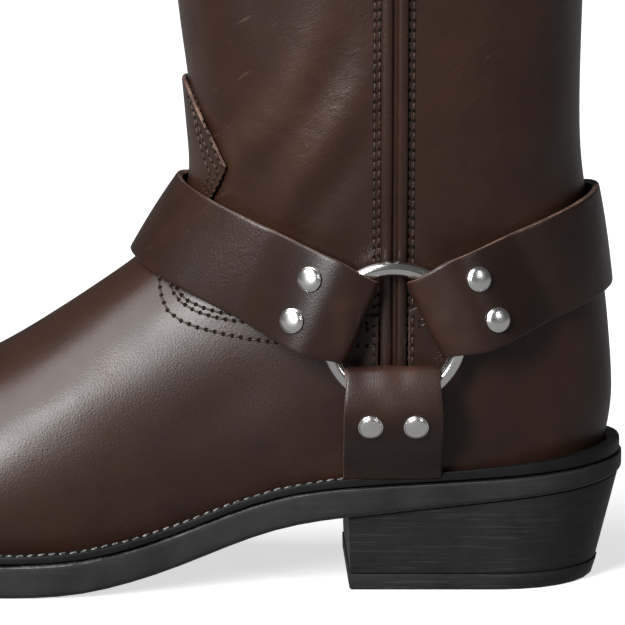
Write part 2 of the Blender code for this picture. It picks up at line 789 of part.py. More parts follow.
def heel_solid(name, rings, material):
    count = len(rings[0])
    faces = ring_faces(len(rings), count, closed=False)
    faces += breast_cap(0, count)
    faces += breast_cap((len(rings) - 1) * count, count)
    return make_solid(name, np.concatenate(rings), faces, material)


def build_heel(block_material, cap_material):
    seat_height = float(underside(0.0))
    lift_share = TOP_LIFT / seat_height
    edge = 0.6
    heel_solid(
        "heel_cap",
        [
            with_height(heel_outline(0.0, edge), 0.0),
            with_height(heel_outline(0.0), edge),
            with_height(heel_outline(lift_share), TOP_LIFT),
        ],
        cap_material,
    )
    low = heel_outline(lift_share, 0.3)
    high = heel_outline(1.0)
    heel_solid(
        "heel_stack",
        [
            with_height(low, TOP_LIFT + GAP),
            with_height(high, underside(high[:, 0]) - GAP),
        ],
        block_material,
    )


def line_height(line, x):
    return line[1] + (x - line[0]) * line[2]


class StrapEdge:
    """One edge of a strap: the way round the body in a tilted plane, measured from the fold on the outer side."""

    def __init__(self, line, fold_x, centre_x, turn, bed):
        start = -math.pi / 2 - STRAP_OVERRUN * turn
        angle = start + np.linspace(0.0, (math.pi + 2 * STRAP_OVERRUN) * turn, 361)
        along = np.cos(angle)
        across = np.sin(angle)

        def field(reach):
            x = centre_x + reach * along
            return body_distance(x, reach * across, line_height(line, x)) - bed

        reach = crossing(field, 0 * angle, 0 * angle + STRAP_REACH)
        x = centre_x + reach * along
        points = np.stack([x, reach * across, line_height(line, x)], axis=1)
        beyond = np.nonzero((x - fold_x) * turn > 0)[0]
        points = points[beyond[0] : beyond[-1] + 1]
        steps = np.linalg.norm(np.diff(points, axis=0), axis=1)
        self.distance = np.concatenate([[0.0], np.cumsum(steps)])
        self.points = points
        self.length = self.distance[-1]

    def at(self, distance):
        return np.array([np.interp(distance, self.distance, self.points[:, axis]) for axis in range(3)])


def fold_path():
    """From the end of the folded-back leather round the wire to the strap's top layer.

    Columns: distance from the fold, height of the leather's inner face above the seat, 0 on the folded-back
    layer and 1 on the top layer.
    """
    reach = FOLD_THICKNESS + LOOP_INNER_RADIUS
    middle = RETURN_BED + FOLD_THICKNESS + LOOP_INNER_RADIUS
    path = [(distance, middle - LOOP_INNER_RADIUS, 0) for distance in (RETURN_LENGTH, 19.0, 13.0, 8.5)]
    turns = 6
    for i in range(turns + 1):
        angle = math.pi * i / turns
        distance = reach - LOOP_INNER_RADIUS * math.sin(angle)
        height = middle - LOOP_INNER_RADIUS * math.cos(angle)
        path.append((distance, height, 1 if i > turns / 2 else 0))
    path += [(distance, LOOP_TOP, 1) for distance in (8.5, 13.0, 18.0, 23.0, 28.0, 33.0, 38.0)]
    return path


def settle(distance):
    """How far the strap has come down from the ring's plane to the body, from 0 to 1."""
    return smoothstep(distance, PLANAR_LENGTH, SETTLED_LENGTH)


def loop_depth(distance, height, layer, bed_depth):
    """Depth from y = 0 of the leather's inner face, near a ring."""
    lift = 0.0 if layer else FOLD_THICKNESS
    return (RING_SEAT + height) * (1 - settle(distance)) + (bed_depth + lift) * settle(distance)


def strap_stations(edges):
    """Stations of a strap that runs from one ring round the boot to the other, as pairs of edge points."""
    path = fold_path()
    length = min(edge.length for edge in edges)
    stations = []
    layers = []

    def add_end(side, rows):
        for distance, height, layer in rows:
            station = []
            for index, edge in enumerate(edges):
                where = distance if side < 0 else edge.length - distance
                point = edge.at(where)
                depth = loop_depth(distance, height, layer, abs(point[1]))
                point[1] = side * depth
                station.append(point)
            inset = FOLD_INSET * (1 - smoothstep(distance, *INSET_RANGE))
            across = station[1] - station[0]
            across = across / np.linalg.norm(across)
            station = [station[0] + across * inset, station[1] - across * inset]
            stations.append(station)
            layers.append(layer)

    add_end(-1, path)
    start = path[-1][0]
    for i in range(1, STRAP_MIDDLE_STEPS):
        share = (start + (length - 2 * start) * i / STRAP_MIDDLE_STEPS) / length
        stations.append([edge.at(share * edge.length) for edge in edges])
        layers.append(1)
    add_end(1, path[::-1])
    return np.array(stations), np.array(layers)


def strap_solid(name, stations, layers, material, end_height=None):
    """Leather of a real thickness along the stations. With end_height, its last end stops at that height."""
    middle = stations.mean(axis=1)
    along = np.gradient(middle, axis=0)
    across = stations[:, 1] - stations[:, 0]
    normal = np.cross(along, across)
    normal /= np.linalg.norm(normal, axis=1, keepdims=True)
    probe = len(stations) // 2
    outward = middle[probe] - np.array([RING_X, 0.0, middle[probe][2]])
    if np.dot(normal[probe], outward) < 0:
        normal = -normal
    thickness = np.where(layers == 1, STRAP_THICKNESS, FOLD_THICKNESS)[:, None]
    outer = stations + (normal * thickness)[:, None, :]
    middle_inner = stations.mean(axis=1)
    middle_outer = outer.mean(axis=1)
    rings = np.stack([stations[:, 0], middle_inner, stations[:, 1], outer[:, 1], middle_outer, outer[:, 0]], axis=1)
    if end_height:
        rings[-1, :, 2] = end_height(rings[-1, :, 0])
    count = rings.shape[1]
    faces = ring_faces(len(rings), count, closed=False)
    for start in (0, (len(rings) - 1) * count):
        faces.append((start, start + 1, start + 4, start + 5))
        faces.append((start + 1, start + 2, start + 3, start + 4))
    obj = make_solid(name, rings.reshape(-1, 3), faces, material)
    return obj, middle_outer, normal


def sole_strap_stations(side):
    """A short strap hangs from the ring to the welt, between two upright edges."""
    path = fold_path()
    stations = []
    layers = []
    edges = SOLE_STRAP_EDGES
    bottom = [float(welt_top(x)) + GAP for x in edges]
    last = SOLE_STRAP_FOLD - min(bottom)
    rows = [row for row in path if row[0] < last - 2.0] + [(last, LOOP_TOP, 1)]
    for distance, height, layer in rows:
        inset = SOLE_STRAP_INSET * (1 - smoothstep(distance, *INSET_RANGE))
        station = []
        for x, low, inward in zip(edges, bottom, (inset, -inset)):
            z = max(SOLE_STRAP_FOLD - distance, low)
            if distance == last:
                z = low
            bed = float(side_depth(np.array([x]), np.array([z]), side)[0]) + STRAP_BED
            depth = loop_depth(distance, height, layer, bed)
            station.append((x + inward, side * depth, z))
        stations.append(station)
        layers.append(layer)
    return np.array(stations), np.array(layers)


def ring_torus(name, side, radius, major, minor):
    """A wire ring in an upright plane beside the ankle."""
    bpy.ops.mesh.primitive_torus_add(
        major_segments=major,
        minor_segments=minor,
        major_radius=RING_RADIUS * MM,
        minor_radius=radius * MM,
        rotation=(math.pi / 2, 0.0, 0.0),
    )
    obj = bpy.context.object
    obj.name = name
    height = RETURN_BED + FOLD_THICKNESS + GAP + WIRE_RADIUS
    obj.location = (RING_X * MM, side * (RING_SEAT + height) * MM, RING_Z * MM)
    obj.data.shade_smooth()
    return obj


def cut_wire_bed(strap, cutter):
    """The wire presses its own bed into the edges of the folded leather."""
    bed = strap.modifiers.new("wire bed", "BOOLEAN")
    bed.operation = "DIFFERENCE"
    bed.solver = "EXACT"
    bed.object = cutter


# Domed cap of a rivet: radius and height as shares of the whole
RIVET_PROFILE = ((1.0, 0.0), (1.0, 0.16), (0.84, 0.55), (0.5, 0.88))
RIVET_SIDES = 10


def build_rivet(name, seat, normal, material):
    """A turned cap on its seat, along the leather's normal."""
    up = normal / np.linalg.norm(normal)
    first = np.cross(up, (0.0, 0.0, 1.0))
    first /= np.linalg.norm(first)
    second = np.cross(up, first)
    base = seat + up * GAP
    points = []
    for radius, height in RIVET_PROFILE:
        for i in range(RIVET_SIDES):
            angle = 2 * math.pi * i / RIVET_SIDES
            round_way = first * math.cos(angle) + second * math.sin(angle)
            points.append(base + round_way * radius * RIVET_RADIUS + up * height * RIVET_HEIGHT)
    points.append(base + up * RIVET_HEIGHT)
    faces = ring_faces(len(RIVET_PROFILE), RIVET_SIDES, closed=False)
    faces.append(tuple(range(RIVET_SIDES)))
    last = (len(RIVET_PROFILE) - 1) * RIVET_SIDES
    for i in range(RIVET_SIDES):
        faces.append((last + i, last + (i + 1) % RIVET_SIDES, len(points) - 1))
    return make_solid(name, points, faces, material)


def rivet_seats(stations, outer, normal, side, distance):
    """Where a pair of rivets sits: the point on the strap's outer face at a distance from the fold."""
    path = fold_path()
    top = np.array([i for i, (_, _, layer) in enumerate(path) if layer == 1])
    top = top[np.argsort([path[i][0] for i in top])]
    known = np.array([path[i][0] for i in top])
    index = top if side < 0 else len(stations) - 1 - top

    def read(values):
        return np.array([np.interp(distance, known, values[index][:, axis]) for axis in range(3)])

    seat = read(outer)
    up = read(normal)
    across = read(stations[:, 1] - stations[:, 0])
    across /= np.linalg.norm(across)
    return [(seat + across * offset, up) for offset in (-RIVET_SPACING / 2, RIVET_SPACING / 2)]


def main():
    clear_scene()
    leather = make_material("brown leather", (0.045, 0.022, 0.014), 0.42)
    strap_leather = make_material("strap leather", (0.05, 0.026, 0.017), 0.45)
    lining = make_material("insole leather", (0.30, 0.20, 0.12), 0.7)
    black = make_material("black sole leather", (0.012, 0.012, 0.012), 0.5)
    rubber = make_material("black rubber", (0.010, 0.010, 0.010), 0.65)
    steel = make_material("nickel plate", (0.72, 0.71, 0.69), 0.18, 1.0)

    build_outsole(black)
    build_welt(black)
    build_heel(black, rubber)
    build_insole(lining)
    rows, angles = wall_grid()
    build_upper(rows, angles, leather)
    build_vamp(rows, angles, leather)
    build_counter(rows, angles, leather)

    instep = (
        StrapEdge(INSTEP_LOWER, INSTEP_FOLD[0], -28.0, -1, INSTEP_BED),
        StrapEdge(INSTEP_UPPER, INSTEP_FOLD[1], -28.0, -1, INSTEP_BED),
    )
    heel = (
        StrapEdge(HEEL_LOWER, HEEL_FOLD[0], -22.0, 1, STRAP_BED),
        StrapEdge(HEEL_UPPER, HEEL_FOLD[1], -22.0, 1, STRAP_BED),
    )
    straps = {}
    for name, edges in (("instep_strap", instep), ("heel_strap", heel)):
        stations, layers = strap_stations(edges)
        strap, outer, normal = strap_solid(name, stations, layers, strap_leather)
        straps[name] = (strap, stations, outer, normal)

    for place, side in (("outer", -1), ("inner", 1)):
        build_side_seam(f"side_seam_{place}", side, leather)
        ring = ring_torus(f"ring_{place}", side, WIRE_RADIUS, 24, 7)
        ring.data.materials.append(steel)
        cutter = ring_torus(f"wire_bed_{place}", side, WIRE_RADIUS + GAP, 36, 10)
        cutter.hide_render = True
        cutter.display_type = "WIRE"
        hanging_stations, layers = sole_strap_stations(side)
        hanging, outer, normal = strap_solid(
            f"sole_strap_{place}", hanging_stations, layers, strap_leather, lambda x: welt_top(x) + GAP
        )
        cut_wire_bed(hanging, cutter)
        pairs = [("sole", rivet_seats(hanging_stations, outer, normal, -1, SOLE_RIVET_FROM_FOLD))]
        for name, (strap, stations, outer, normal) in straps.items():
            cut_wire_bed(strap, cutter)
            pairs.append((name.split("_")[0], rivet_seats(stations, outer, normal, side, RIVET_FROM_FOLD)))
        for where, seats in pairs:
            for number, (seat, up) in enumerate(seats, 1):
                build_rivet(f"rivet_{where}_{place}_{number}", seat, up, steel)


main()
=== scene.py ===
"""Harness boot, dressed: leather, harness, hardware, stitching and sole, with its camera and lights.

Lengths are millimetres in tables and wherever MM turns them into metres, and metres elsewhere. The toe points to
-X, the outer side of the boot to -Y.
"""

import math

import bmesh
import bpy
import numpy as np
from mathutils import Matrix, Vector, noise
from mathutils.bvhtree import BVHTree


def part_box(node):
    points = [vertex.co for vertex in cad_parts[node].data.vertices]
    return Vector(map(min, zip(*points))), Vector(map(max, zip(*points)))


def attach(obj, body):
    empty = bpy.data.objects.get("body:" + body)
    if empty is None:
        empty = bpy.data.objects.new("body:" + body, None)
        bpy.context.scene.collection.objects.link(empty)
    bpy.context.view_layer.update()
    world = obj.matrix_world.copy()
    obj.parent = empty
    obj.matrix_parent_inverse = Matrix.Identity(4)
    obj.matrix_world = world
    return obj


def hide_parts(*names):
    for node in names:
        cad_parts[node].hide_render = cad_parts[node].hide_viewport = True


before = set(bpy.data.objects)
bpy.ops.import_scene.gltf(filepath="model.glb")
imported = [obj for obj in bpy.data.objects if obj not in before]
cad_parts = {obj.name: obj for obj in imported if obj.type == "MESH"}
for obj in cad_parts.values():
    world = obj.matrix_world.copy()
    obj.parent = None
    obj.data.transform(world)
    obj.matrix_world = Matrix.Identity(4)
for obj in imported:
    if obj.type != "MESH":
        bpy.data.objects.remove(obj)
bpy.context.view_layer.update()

MM = 0.001
SIDES = (("outer", -1), ("inner", 1))

# Points of a solid that are this close are one point, and two triangles this flat and even, in degrees, one face
SAME_PLACE = 0.00001
PAIR_FLATNESS = 50
PAIR_EVENNESS = 80


# Working on a piece

def work_on(piece):
    if bpy.context.mode != "OBJECT":
        bpy.ops.object.mode_set(mode="OBJECT")
    bpy.ops.object.select_all(action="DESELECT")
    piece.select_set(True)
    bpy.context.view_layer.objects.active = piece


def face_outward(piece):
    work_on(piece)
    bpy.ops.object.mode_set(mode="EDIT")
    bpy.ops.mesh.select_all(action="SELECT")
    bpy.ops.mesh.normals_make_consistent(inside=False)
    bpy.ops.object.mode_set(mode="OBJECT")


def finish_with(piece, kind, **settings):
    """Adds a modifier to the piece and applies it."""
    work_on(piece)
    modifier = piece.modifiers.new(kind.lower(), kind)
    for name, value in settings.items():
        setattr(modifier, name, value)
    bpy.ops.object.modifier_apply(modifier=modifier.name)


def smooth_out(piece, levels):
    finish_with(piece, "SUBSURF", levels=levels, render_levels=levels)


def soften_edges(piece, width, angle=38):
    finish_with(
        piece,
        "BEVEL",
        width=width * MM,
        segments=2,
        limit_method="ANGLE",
        angle_limit=math.radians(angle),
    )


def round_shading(piece, angle):
    work_on(piece)
    bpy.ops.object.shade_smooth_by_angle(angle=math.radians(angle))


def copy_of(node, name):
    """A copy of a solid of the frame, as one skin of four-sided faces."""
    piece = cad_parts[node].copy()
    piece.data = piece.data.copy()
    piece.name = name
    piece.data.name = name
    piece.parent = None
    for key in list(piece.keys()):
        del piece[key]
    bpy.context.scene.collection.objects.link(piece)
    work_on(piece)
    if piece.data.has_custom_normals:
        bpy.ops.mesh.customdata_custom_splitnormals_clear()
    bpy.ops.object.mode_set(mode="EDIT")
    bpy.ops.mesh.select_all(action="SELECT")
    bpy.ops.mesh.remove_doubles(threshold=SAME_PLACE)
    bpy.ops.mesh.tris_convert_to_quads(
        face_threshold=math.radians(PAIR_FLATNESS), shape_threshold=math.radians(PAIR_EVENNESS)
    )
    bpy.ops.object.mode_set(mode="OBJECT")
    piece.data.materials.clear()
    return piece


def points_of(piece):
    points = np.empty(len(piece.data.vertices) * 3, np.float32)
    piece.data.vertices.foreach_get("co", points)
    return points.reshape(-1, 3).astype(float)


def normals_of(piece):
    normals = np.empty(len(piece.data.vertices) * 3, np.float32)
    piece.data.vertex_normals.foreach_get("vector", normals)
    return normals.reshape(-1, 3).astype(float)


def place_points(piece, points):
    piece.data.vertices.foreach_set("co", np.ascontiguousarray(points, np.float32).ravel())
    piece.data.update()


def skin_of(*pieces):
    """What rays and stitches land on."""
    vertices = []
    faces = []
    for piece in pieces:
        start = len(vertices)
        vertices += [vertex.co.copy() for vertex in piece.data.vertices]
        faces += [[start + i for i in face.vertices] for face in piece.data.polygons]
    return BVHTree.FromPolygons(vertices, faces)


def hand_in(piece, node, slot, *finishes):
    """The piece stands for its node, with its finishes, and moves with the boot."""
    for finish in finishes:
        piece.data.materials.append(finish)
    if node:
        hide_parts(node)
    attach(piece, "root")


# Finishes

class Finish:
    """A material and the nodes that make its colour, gloss and relief."""

    def __init__(self, name, roughness=0.5, metallic=0.0, coat=0.0, coat_roughness=0.3, specular=0.5):
        self.material = bpy.data.materials.new(name)
        self.material.use_nodes = True
        self.tree = self.material.node_tree
        self.shader = self.tree.nodes["Principled BSDF"]
        self.shader.inputs["Roughness"].default_value = roughness
        self.shader.inputs["Metallic"].default_value = metallic
        self.shader.inputs["Coat Weight"].default_value = coat
        self.shader.inputs["Coat Roughness"].default_value = coat_roughness
        self.shader.inputs["Specular IOR Level"].default_value = specular
        self.place = self.tree.nodes.new("ShaderNodeTexCoord").outputs["Object"]

    def node(self, kind, inputs=None, **settings):
        node = self.tree.nodes.new(kind)
        for name, value in settings.items():
            setattr(node, name, value)
        for name, value in (inputs or {}).items():
            if isinstance(value, bpy.types.NodeSocket):
                self.tree.links.new(value, node.inputs[name])
            else:
                node.inputs[name].default_value = value
        return node

    def set(self, name, socket):
        self.tree.links.new(socket, self.shader.inputs[name])

    def grown(self, stretch=(1, 1, 1), turn=(0, 0, 0)):
        """The place on the piece, stretched and turned."""
        angles = tuple(math.radians(angle) for angle in turn)
        turned = self.node("ShaderNodeMapping", {"Vector": self.place, "Rotation": angles})
        return self.node("ShaderNodeMapping", {"Vector": turned.outputs[0], "Scale": stretch}).outputs[0]

    def noise(self, scale, detail=3.0, roughness=0.5, distortion=0.0, stretch=(1, 1, 1), turn=(0, 0, 0)):
        values = {
            "Vector": self.grown(stretch, turn),
            "Scale": scale,
            "Detail": detail,
            "Roughness": roughness,
            "Distortion": distortion,
        }
        return self.node("ShaderNodeTexNoise", values).outputs[0]

    def cells(self, scale):
        """How far it is to the nearest border between grown cells."""
        values = {"Vector": self.grown(), "Scale": scale}
        return self.node("ShaderNodeTexVoronoi", values, feature="DISTANCE_TO_EDGE").outputs["Distance"]

    def axis(self, name):
        return self.node("ShaderNodeSeparateXYZ", {"Vector": self.place}).outputs[name]

    def ramp(self, value, *stops):
        ramp = self.node("ShaderNodeValToRGB", {"Fac": value})
        elements = ramp.color_ramp.elements
        while len(elements) < len(stops):
            elements.new(0.5)
        for element, (position, colour) in zip(elements, stops):
            element.position = position
            element.color = (*colour, 1.0)
        return ramp.outputs["Color"]

    def remap(self, value, low, high, to_low=0.0, to_high=1.0):
        values = {"Value": value, "From Min": low, "From Max": high, "To Min": to_low, "To Max": to_high}
        return self.node("ShaderNodeMapRange", values).outputs["Result"]

    def math(self, operation, first, second):
        node = self.node("ShaderNodeMath", operation=operation)
        for socket, value in zip(node.inputs, (first, second)):
            if isinstance(value, bpy.types.NodeSocket):
                self.tree.links.new(value, socket)
            else:
                socket.default_value = value
        return node.outputs[0]

    def mix(self, share, first, second):
        """From one colour to another."""
        node = self.node("ShaderNodeMix", data_type="RGBA")
        sockets = (node.inputs[0], node.inputs[6], node.inputs[7])
        for socket, value in zip(sockets, (share, first, second)):
            if isinstance(value, bpy.types.NodeSocket):
                self.tree.links.new(value, socket)
            else:
                socket.default_value = value if isinstance(value, float) else (*value, 1.0)
        return node.outputs[2]

    def relief(self, *layers):
        """Bumps from (height, depth in mm, strength), one on the other."""
        normal = None
        for height, depth, strength in layers:
            values = {"Height": height, "Distance": depth * MM, "Strength": strength}
            if normal:
                values["Normal"] = normal
            normal = self.node("ShaderNodeBump", values).outputs["Normal"]
        self.set("Normal", normal)


# Heights between which the leather's fine wrinkles grow to their full depth
WRINKLES_FROM = 0.085
WRINKLES_FULL = 0.12


def leather_finish(name, dark, middle, warm, pulled_and_sheen, roughness, coat):
    """Oiled, smooth leather: cloudy brown, lighter where its pull-up attribute says, which is pulled leather and in
    places a painted highlight, with fine grain and short light scuffs.
    """
    finish = Finish(name, coat=coat, specular=0.37)
    clouds = finish.noise(13.0, detail=3.0, roughness=0.55, distortion=0.6)
    mottle = finish.noise(95.0, detail=4.0, roughness=0.6)
    blend = finish.math("ADD", finish.math("MULTIPLY", clouds, 0.68), finish.math("MULTIPLY", mottle, 0.32))
    colour = finish.ramp(blend, (0.36, dark), (0.52, middle), (0.66, warm))
    # The pull-up attribute: pulled leather, and in places a painted highlight
    attribute = finish.node("ShaderNodeAttribute", attribute_name="pull_up_and_sheen").outputs["Fac"]
    pulled_and_sheen_share = finish.math("MULTIPLY", attribute, finish.remap(mottle, 0.3, 0.7, 0.55, 1.0))
    colour = finish.mix(pulled_and_sheen_share, colour, pulled_and_sheen)
    long_marks = finish.noise(60.0, detail=2.0, distortion=0.4, stretch=(1.0, 1.0, 16.0), turn=(0, 38, 0))
    where = finish.noise(22.0, detail=2.0)
    marks = finish.math("MULTIPLY", finish.remap(long_marks, 0.69, 0.74), finish.remap(where, 0.52, 0.66))
    colour = finish.mix(finish.math("MULTIPLY", marks, 0.4), colour, pulled_and_sheen)
    finish.set("Base Color", colour)
    gloss = finish.remap(blend, 0.35, 0.65, roughness + 0.05, roughness - 0.04)
    finish.set("Roughness", finish.math("ADD", gloss, finish.math("MULTIPLY", marks, 0.12)))
    grain = finish.cells(950.0)
    fine = finish.noise(2000.0, detail=2.0)
    wrinkle = finish.noise(
        170.0, detail=4.0, roughness=0.6, distortion=0.9, stretch=(1.0, 1.0, 1.7), turn=(0, 30, 0)
    )
    by_height = finish.remap(finish.axis("Z"), WRINKLES_FROM, WRINKLES_FULL, 0.25, 1.3)
    folds = finish.math("MULTIPLY", wrinkle, finish.math("MULTIPLY", finish.remap(clouds, 0.42, 0.66), by_height))
    soft = finish.noise(38.0, detail=2.0)
    finish.relief((soft, 0.6, 0.3), (folds, 0.5, 0.5), (grain, 0.1, 0.5), (fine, 0.05, 0.45))
    return finish.material


def raw_edge_and_highlight_finish():
    """The cut edge of strap leather: reddish tan, partly its own colour and partly a painted highlight, with fibres
    along it.
    """
    finish = Finish("cut leather edge and painted highlight", roughness=0.75)
    fibres = finish.noise(900.0, detail=4.0, roughness=0.7)
    patches = finish.noise(160.0)
    blend = finish.math("ADD", finish.math("MULTIPLY", fibres, 0.5), finish.math("MULTIPLY", patches, 0.5))
    # The lighter stops are partly the raw edge's own tan and partly a painted highlight
    stops = (0.36, (0.025, 0.012, 0.009)), (0.5, (0.085, 0.043, 0.03)), (0.64, (0.19, 0.112, 0.08))
    finish.set("Base Color", finish.ramp(blend, *stops))
    finish.relief((fibres, 0.12, 0.6))
    return finish.material


def lining_finish():
    finish = Finish("lining leather", roughness=0.6)
    clouds = finish.noise(25.0)
    colour = finish.ramp(clouds, (0.35, (0.17, 0.105, 0.06)), (0.65, (0.23, 0.15, 0.09)))
    finish.set("Base Color", colour)
    finish.relief((finish.cells(700.0), 0.03, 0.4), (finish.noise(60.0), 0.3, 0.3))
    return finish.material


def insole_finish():
    finish = Finish("insole leather", roughness=0.68)
    clouds = finish.noise(30.0, detail=4.0, roughness=0.6)
    colour = finish.ramp(clouds, (0.35, (0.27, 0.17, 0.095)), (0.65, (0.36, 0.24, 0.14)))
    finish.set("Base Color", colour)
    finish.relief((finish.cells(600.0), 0.03, 0.4), (finish.noise(900.0), 0.02, 0.4))
    return finish.material


def sole_edge_finish(name, base, worn, lines, roughness=0.5):
    """Blackened sole leather and rubber: semi-matte, with fine level scratches where lines is above 0."""
    finish = Finish(name, coat=0.02, coat_roughness=0.4, specular=0.2)
    drift = finish.noise(9.0, detail=2.0)
    level = finish.noise(34.0, detail=5.0, roughness=0.68, distortion=0.15, stretch=(1.0, 1.0, 22.0))
    thin = finish.noise(60.0, roughness=0.6, distortion=0.2, stretch=(1.0, 1.0, 20.0))
    cuts = finish.math("MULTIPLY", finish.remap(level, 0.54, 0.64), finish.remap(drift, 0.35, 0.6, 0.3, 1.0))
    clouds = finish.noise(70.0, detail=4.0, roughness=0.6)
    colour = finish.mix(finish.remap(clouds, 0.3, 0.75, 0.0, 0.7), base, worn)
    bare = tuple(2.2 * value for value in worn)
    colour = finish.mix(finish.math("MULTIPLY", cuts, 0.35 * lines), colour, bare)
    finish.set("Base Color", colour)
    finish.set("Roughness", finish.remap(clouds, 0.3, 0.7, roughness - 0.05, roughness + 0.08))
    finish.relief((cuts, 0.12, 0.6 * lines), (thin, 0.05, 0.5 * lines), (finish.noise(800.0), 0.02, 0.4))
    return finish.material


# Where the pale line on the outsole's upper edge starts to fade, and where it ends. The pale line is rubbed wear and
# partly a painted highlight.
PALE_RIM_TO = -0.12
BLACK_FROM = -0.02


def rim_wear_and_highlight_finish():
    """The outsole's upper edge: black, rubbed to an uneven silver grey from the toe to the arch, partly a painted
    highlight on the faces that look up.
    """
    finish = Finish("sole rim wear and painted highlight", roughness=0.45)
    patches = finish.noise(120.0, detail=4.0, roughness=0.65)
    grains = finish.noise(900.0, roughness=0.6)
    blend = finish.math("ADD", finish.math("MULTIPLY", patches, 0.6), finish.math("MULTIPLY", grains, 0.4))
    rubbed_and_highlit = finish.ramp(blend, (0.46, (0.008, 0.008, 0.008)), (0.6, (0.11, 0.11, 0.11)))
    fading = finish.remap(finish.axis("X"), PALE_RIM_TO, BLACK_FROM)
    finish.set("Base Color", finish.mix(fading, rubbed_and_highlit, (0.012, 0.012, 0.012)))
    finish.relief((grains, 0.15, 0.5))
    return finish.material


def tread_finish():
    """The walking side: fine cross ribs in black rubber, dull and slightly dusty."""
    finish = Finish("tread rubber", roughness=0.72)
    ribs = []
    for angle in (45, -45):
        values = {"Vector": finish.grown(turn=(0, 0, angle)), "Scale": 95.0}
        ribs.append(finish.node("ShaderNodeTexWave", values, bands_direction="X").outputs["Fac"])
    pattern = finish.math("MULTIPLY", *ribs)
    dust = finish.noise(45.0, detail=4.0, roughness=0.65)
    colour = finish.mix(finish.remap(dust, 0.35, 0.75, 0.0, 0.6), (0.014, 0.014, 0.014), (0.045, 0.043, 0.04))
    finish.set("Base Color", colour)
    finish.relief((pattern, 0.5, 0.7), (finish.noise(900.0), 0.02, 0.4))
    return finish.material


def thread_finish(name, colour, light, roughness):
    """Waxed, twisted thread."""
    finish = Finish(name, roughness=roughness)
    twist = finish.noise(1500.0, detail=2.0, turn=(0, 40, 0))
    finish.set("Base Color", finish.ramp(twist, (0.38, colour), (0.62, light)))
    finish.relief((twist, 0.1, 0.6))
    return finish.material


# Needle holes are flat dark discs on the leather: painted shade of the holes
def hole_shade_finish():
    finish = Finish("needle hole painted shade", roughness=0.9, specular=0.1)
    colour = finish.ramp(finish.noise(900.0), (0.4, (0.006, 0.004, 0.003)), (0.6, (0.013, 0.008, 0.006)))
    finish.set("Base Color", colour)
    return finish.material


def nickel_finish(name, colour, roughness):
    """Polished plating with faint wear."""
    finish = Finish(name, metallic=1.0)
    clouds = finish.noise(160.0, detail=4.0, roughness=0.6)
    scratches = finish.noise(400.0, roughness=0.6, stretch=(1.0, 1.0, 9.0), turn=(20, 35, 0))
    finish.set("Base Color", finish.mix(finish.remap(clouds, 0.3, 0.7), colour, tuple(0.9 * c for c in colour)))
    finish.set("Roughness", finish.remap(scratches, 0.35, 0.7, roughness, roughness + 0.02))
    finish.relief((scratches, 0.002, 0.06))
    return finish.material


upper_leather = leather_finish(
    "upper leather",
    dark=(0.014, 0.0055, 0.003),
    middle=(0.0235, 0.0095, 0.0051),
    warm=(0.032, 0.0132, 0.007),
    pulled_and_sheen=(0.085, 0.043, 0.027),
    roughness=0.38,
    coat=0.02,
)
strap_leather = leather_finish(
    "strap leather",
    dark=(0.0105, 0.0046, 0.0029),
    middle=(0.0175, 0.0077, 0.0048),
    warm=(0.028, 0.012, 0.0072),
    pulled_and_sheen=(0.085, 0.036, 0.022),
    roughness=0.35,
    coat=0.04,
)
cut_edge_and_highlight = raw_edge_and_highlight_finish()
lining = lining_finish()
insole_leather = insole_finish()
sole_black = sole_edge_finish("outsole edge", (0.013, 0.013, 0.0133), (0.0265, 0.0265, 0.027), lines=0.35)
heel_black = sole_edge_finish("heel edge", (0.0095, 0.0095, 0.0098), (0.02, 0.02, 0.0205), lines=1.0)
welt_black = sole_edge_finish("welt edge", (0.0045, 0.0045, 0.0045), (0.009, 0.009, 0.009), lines=0.3, roughness=0.45)
tread_black = tread_finish()
rim_wear_and_highlight = rim_wear_and_highlight_finish()
brown_thread = thread_finish("brown thread", (0.014, 0.0065, 0.004), (0.06, 0.03, 0.019), roughness=0.5)
grey_thread = thread_finish("grey waxed thread", (0.035, 0.034, 0.033), (0.24, 0.24, 0.235), roughness=0.42)
needle_hole_shade = hole_shade_finish()
ring_nickel = nickel_finish("ring nickel", (0.86, 0.85, 0.83), roughness=0.14)
rivet_nickel = nickel_finish("rivet nickel", (0.9, 0.89, 0.87), roughness=0.24)


# Upper, vamp, counter and seams

SHAFT_FROM = 0.12
SHAFT_X = -28.0
SHAFT_AXIS = Vector((SHAFT_X * MM, 0.0, 0.0))

# What tells the lining's faces: how far a shaft's face has to turn to the axis, the ways in which a foot's face
# looks out, and the share of them in which it has to see leather
TURNED_IN = 0.005
LOOK_RISES = (-0.6, 0.0, 0.6)
OFF_THE_FACE = 0.0002
AHEAD_OF_FACE = 0.25
CLOSED_IN = 0.72


def mark_lining(piece):
    """The shaft's faces that turn to its axis, and the foot's that see leather nearly all round, get the lining."""
    skin = skin_of(piece)
    looks = [
        Vector((math.cos(turn) * math.cos(rise), math.sin(turn) * math.cos(rise), math.sin(rise)))
        for rise in LOOK_RISES
        for turn in np.arange(8) * math.pi / 4
    ]
    for face in piece.data.polygons:
        if face.center.z > SHAFT_FROM:
            face.material_index = 1 if face.normal.xy.dot((SHAFT_AXIS - face.center).xy) > TURNED_IN else 0
            continue
        start = face.center + face.normal * OFF_THE_FACE
        ahead = [look for look in looks if look.dot(face.normal) > AHEAD_OF_FACE]
        met = [skin.ray_cast(start, look)[0] is not None for look in ahead]
        face.material_index = 1 if met and sum(met) / len(met) > CLOSED_IN else 0


# A cut edge lies between turns this sharp, in radians, and is no wider than this
SHARP_TURN = 0.9
CUT_EDGE_WIDTH = 1.6


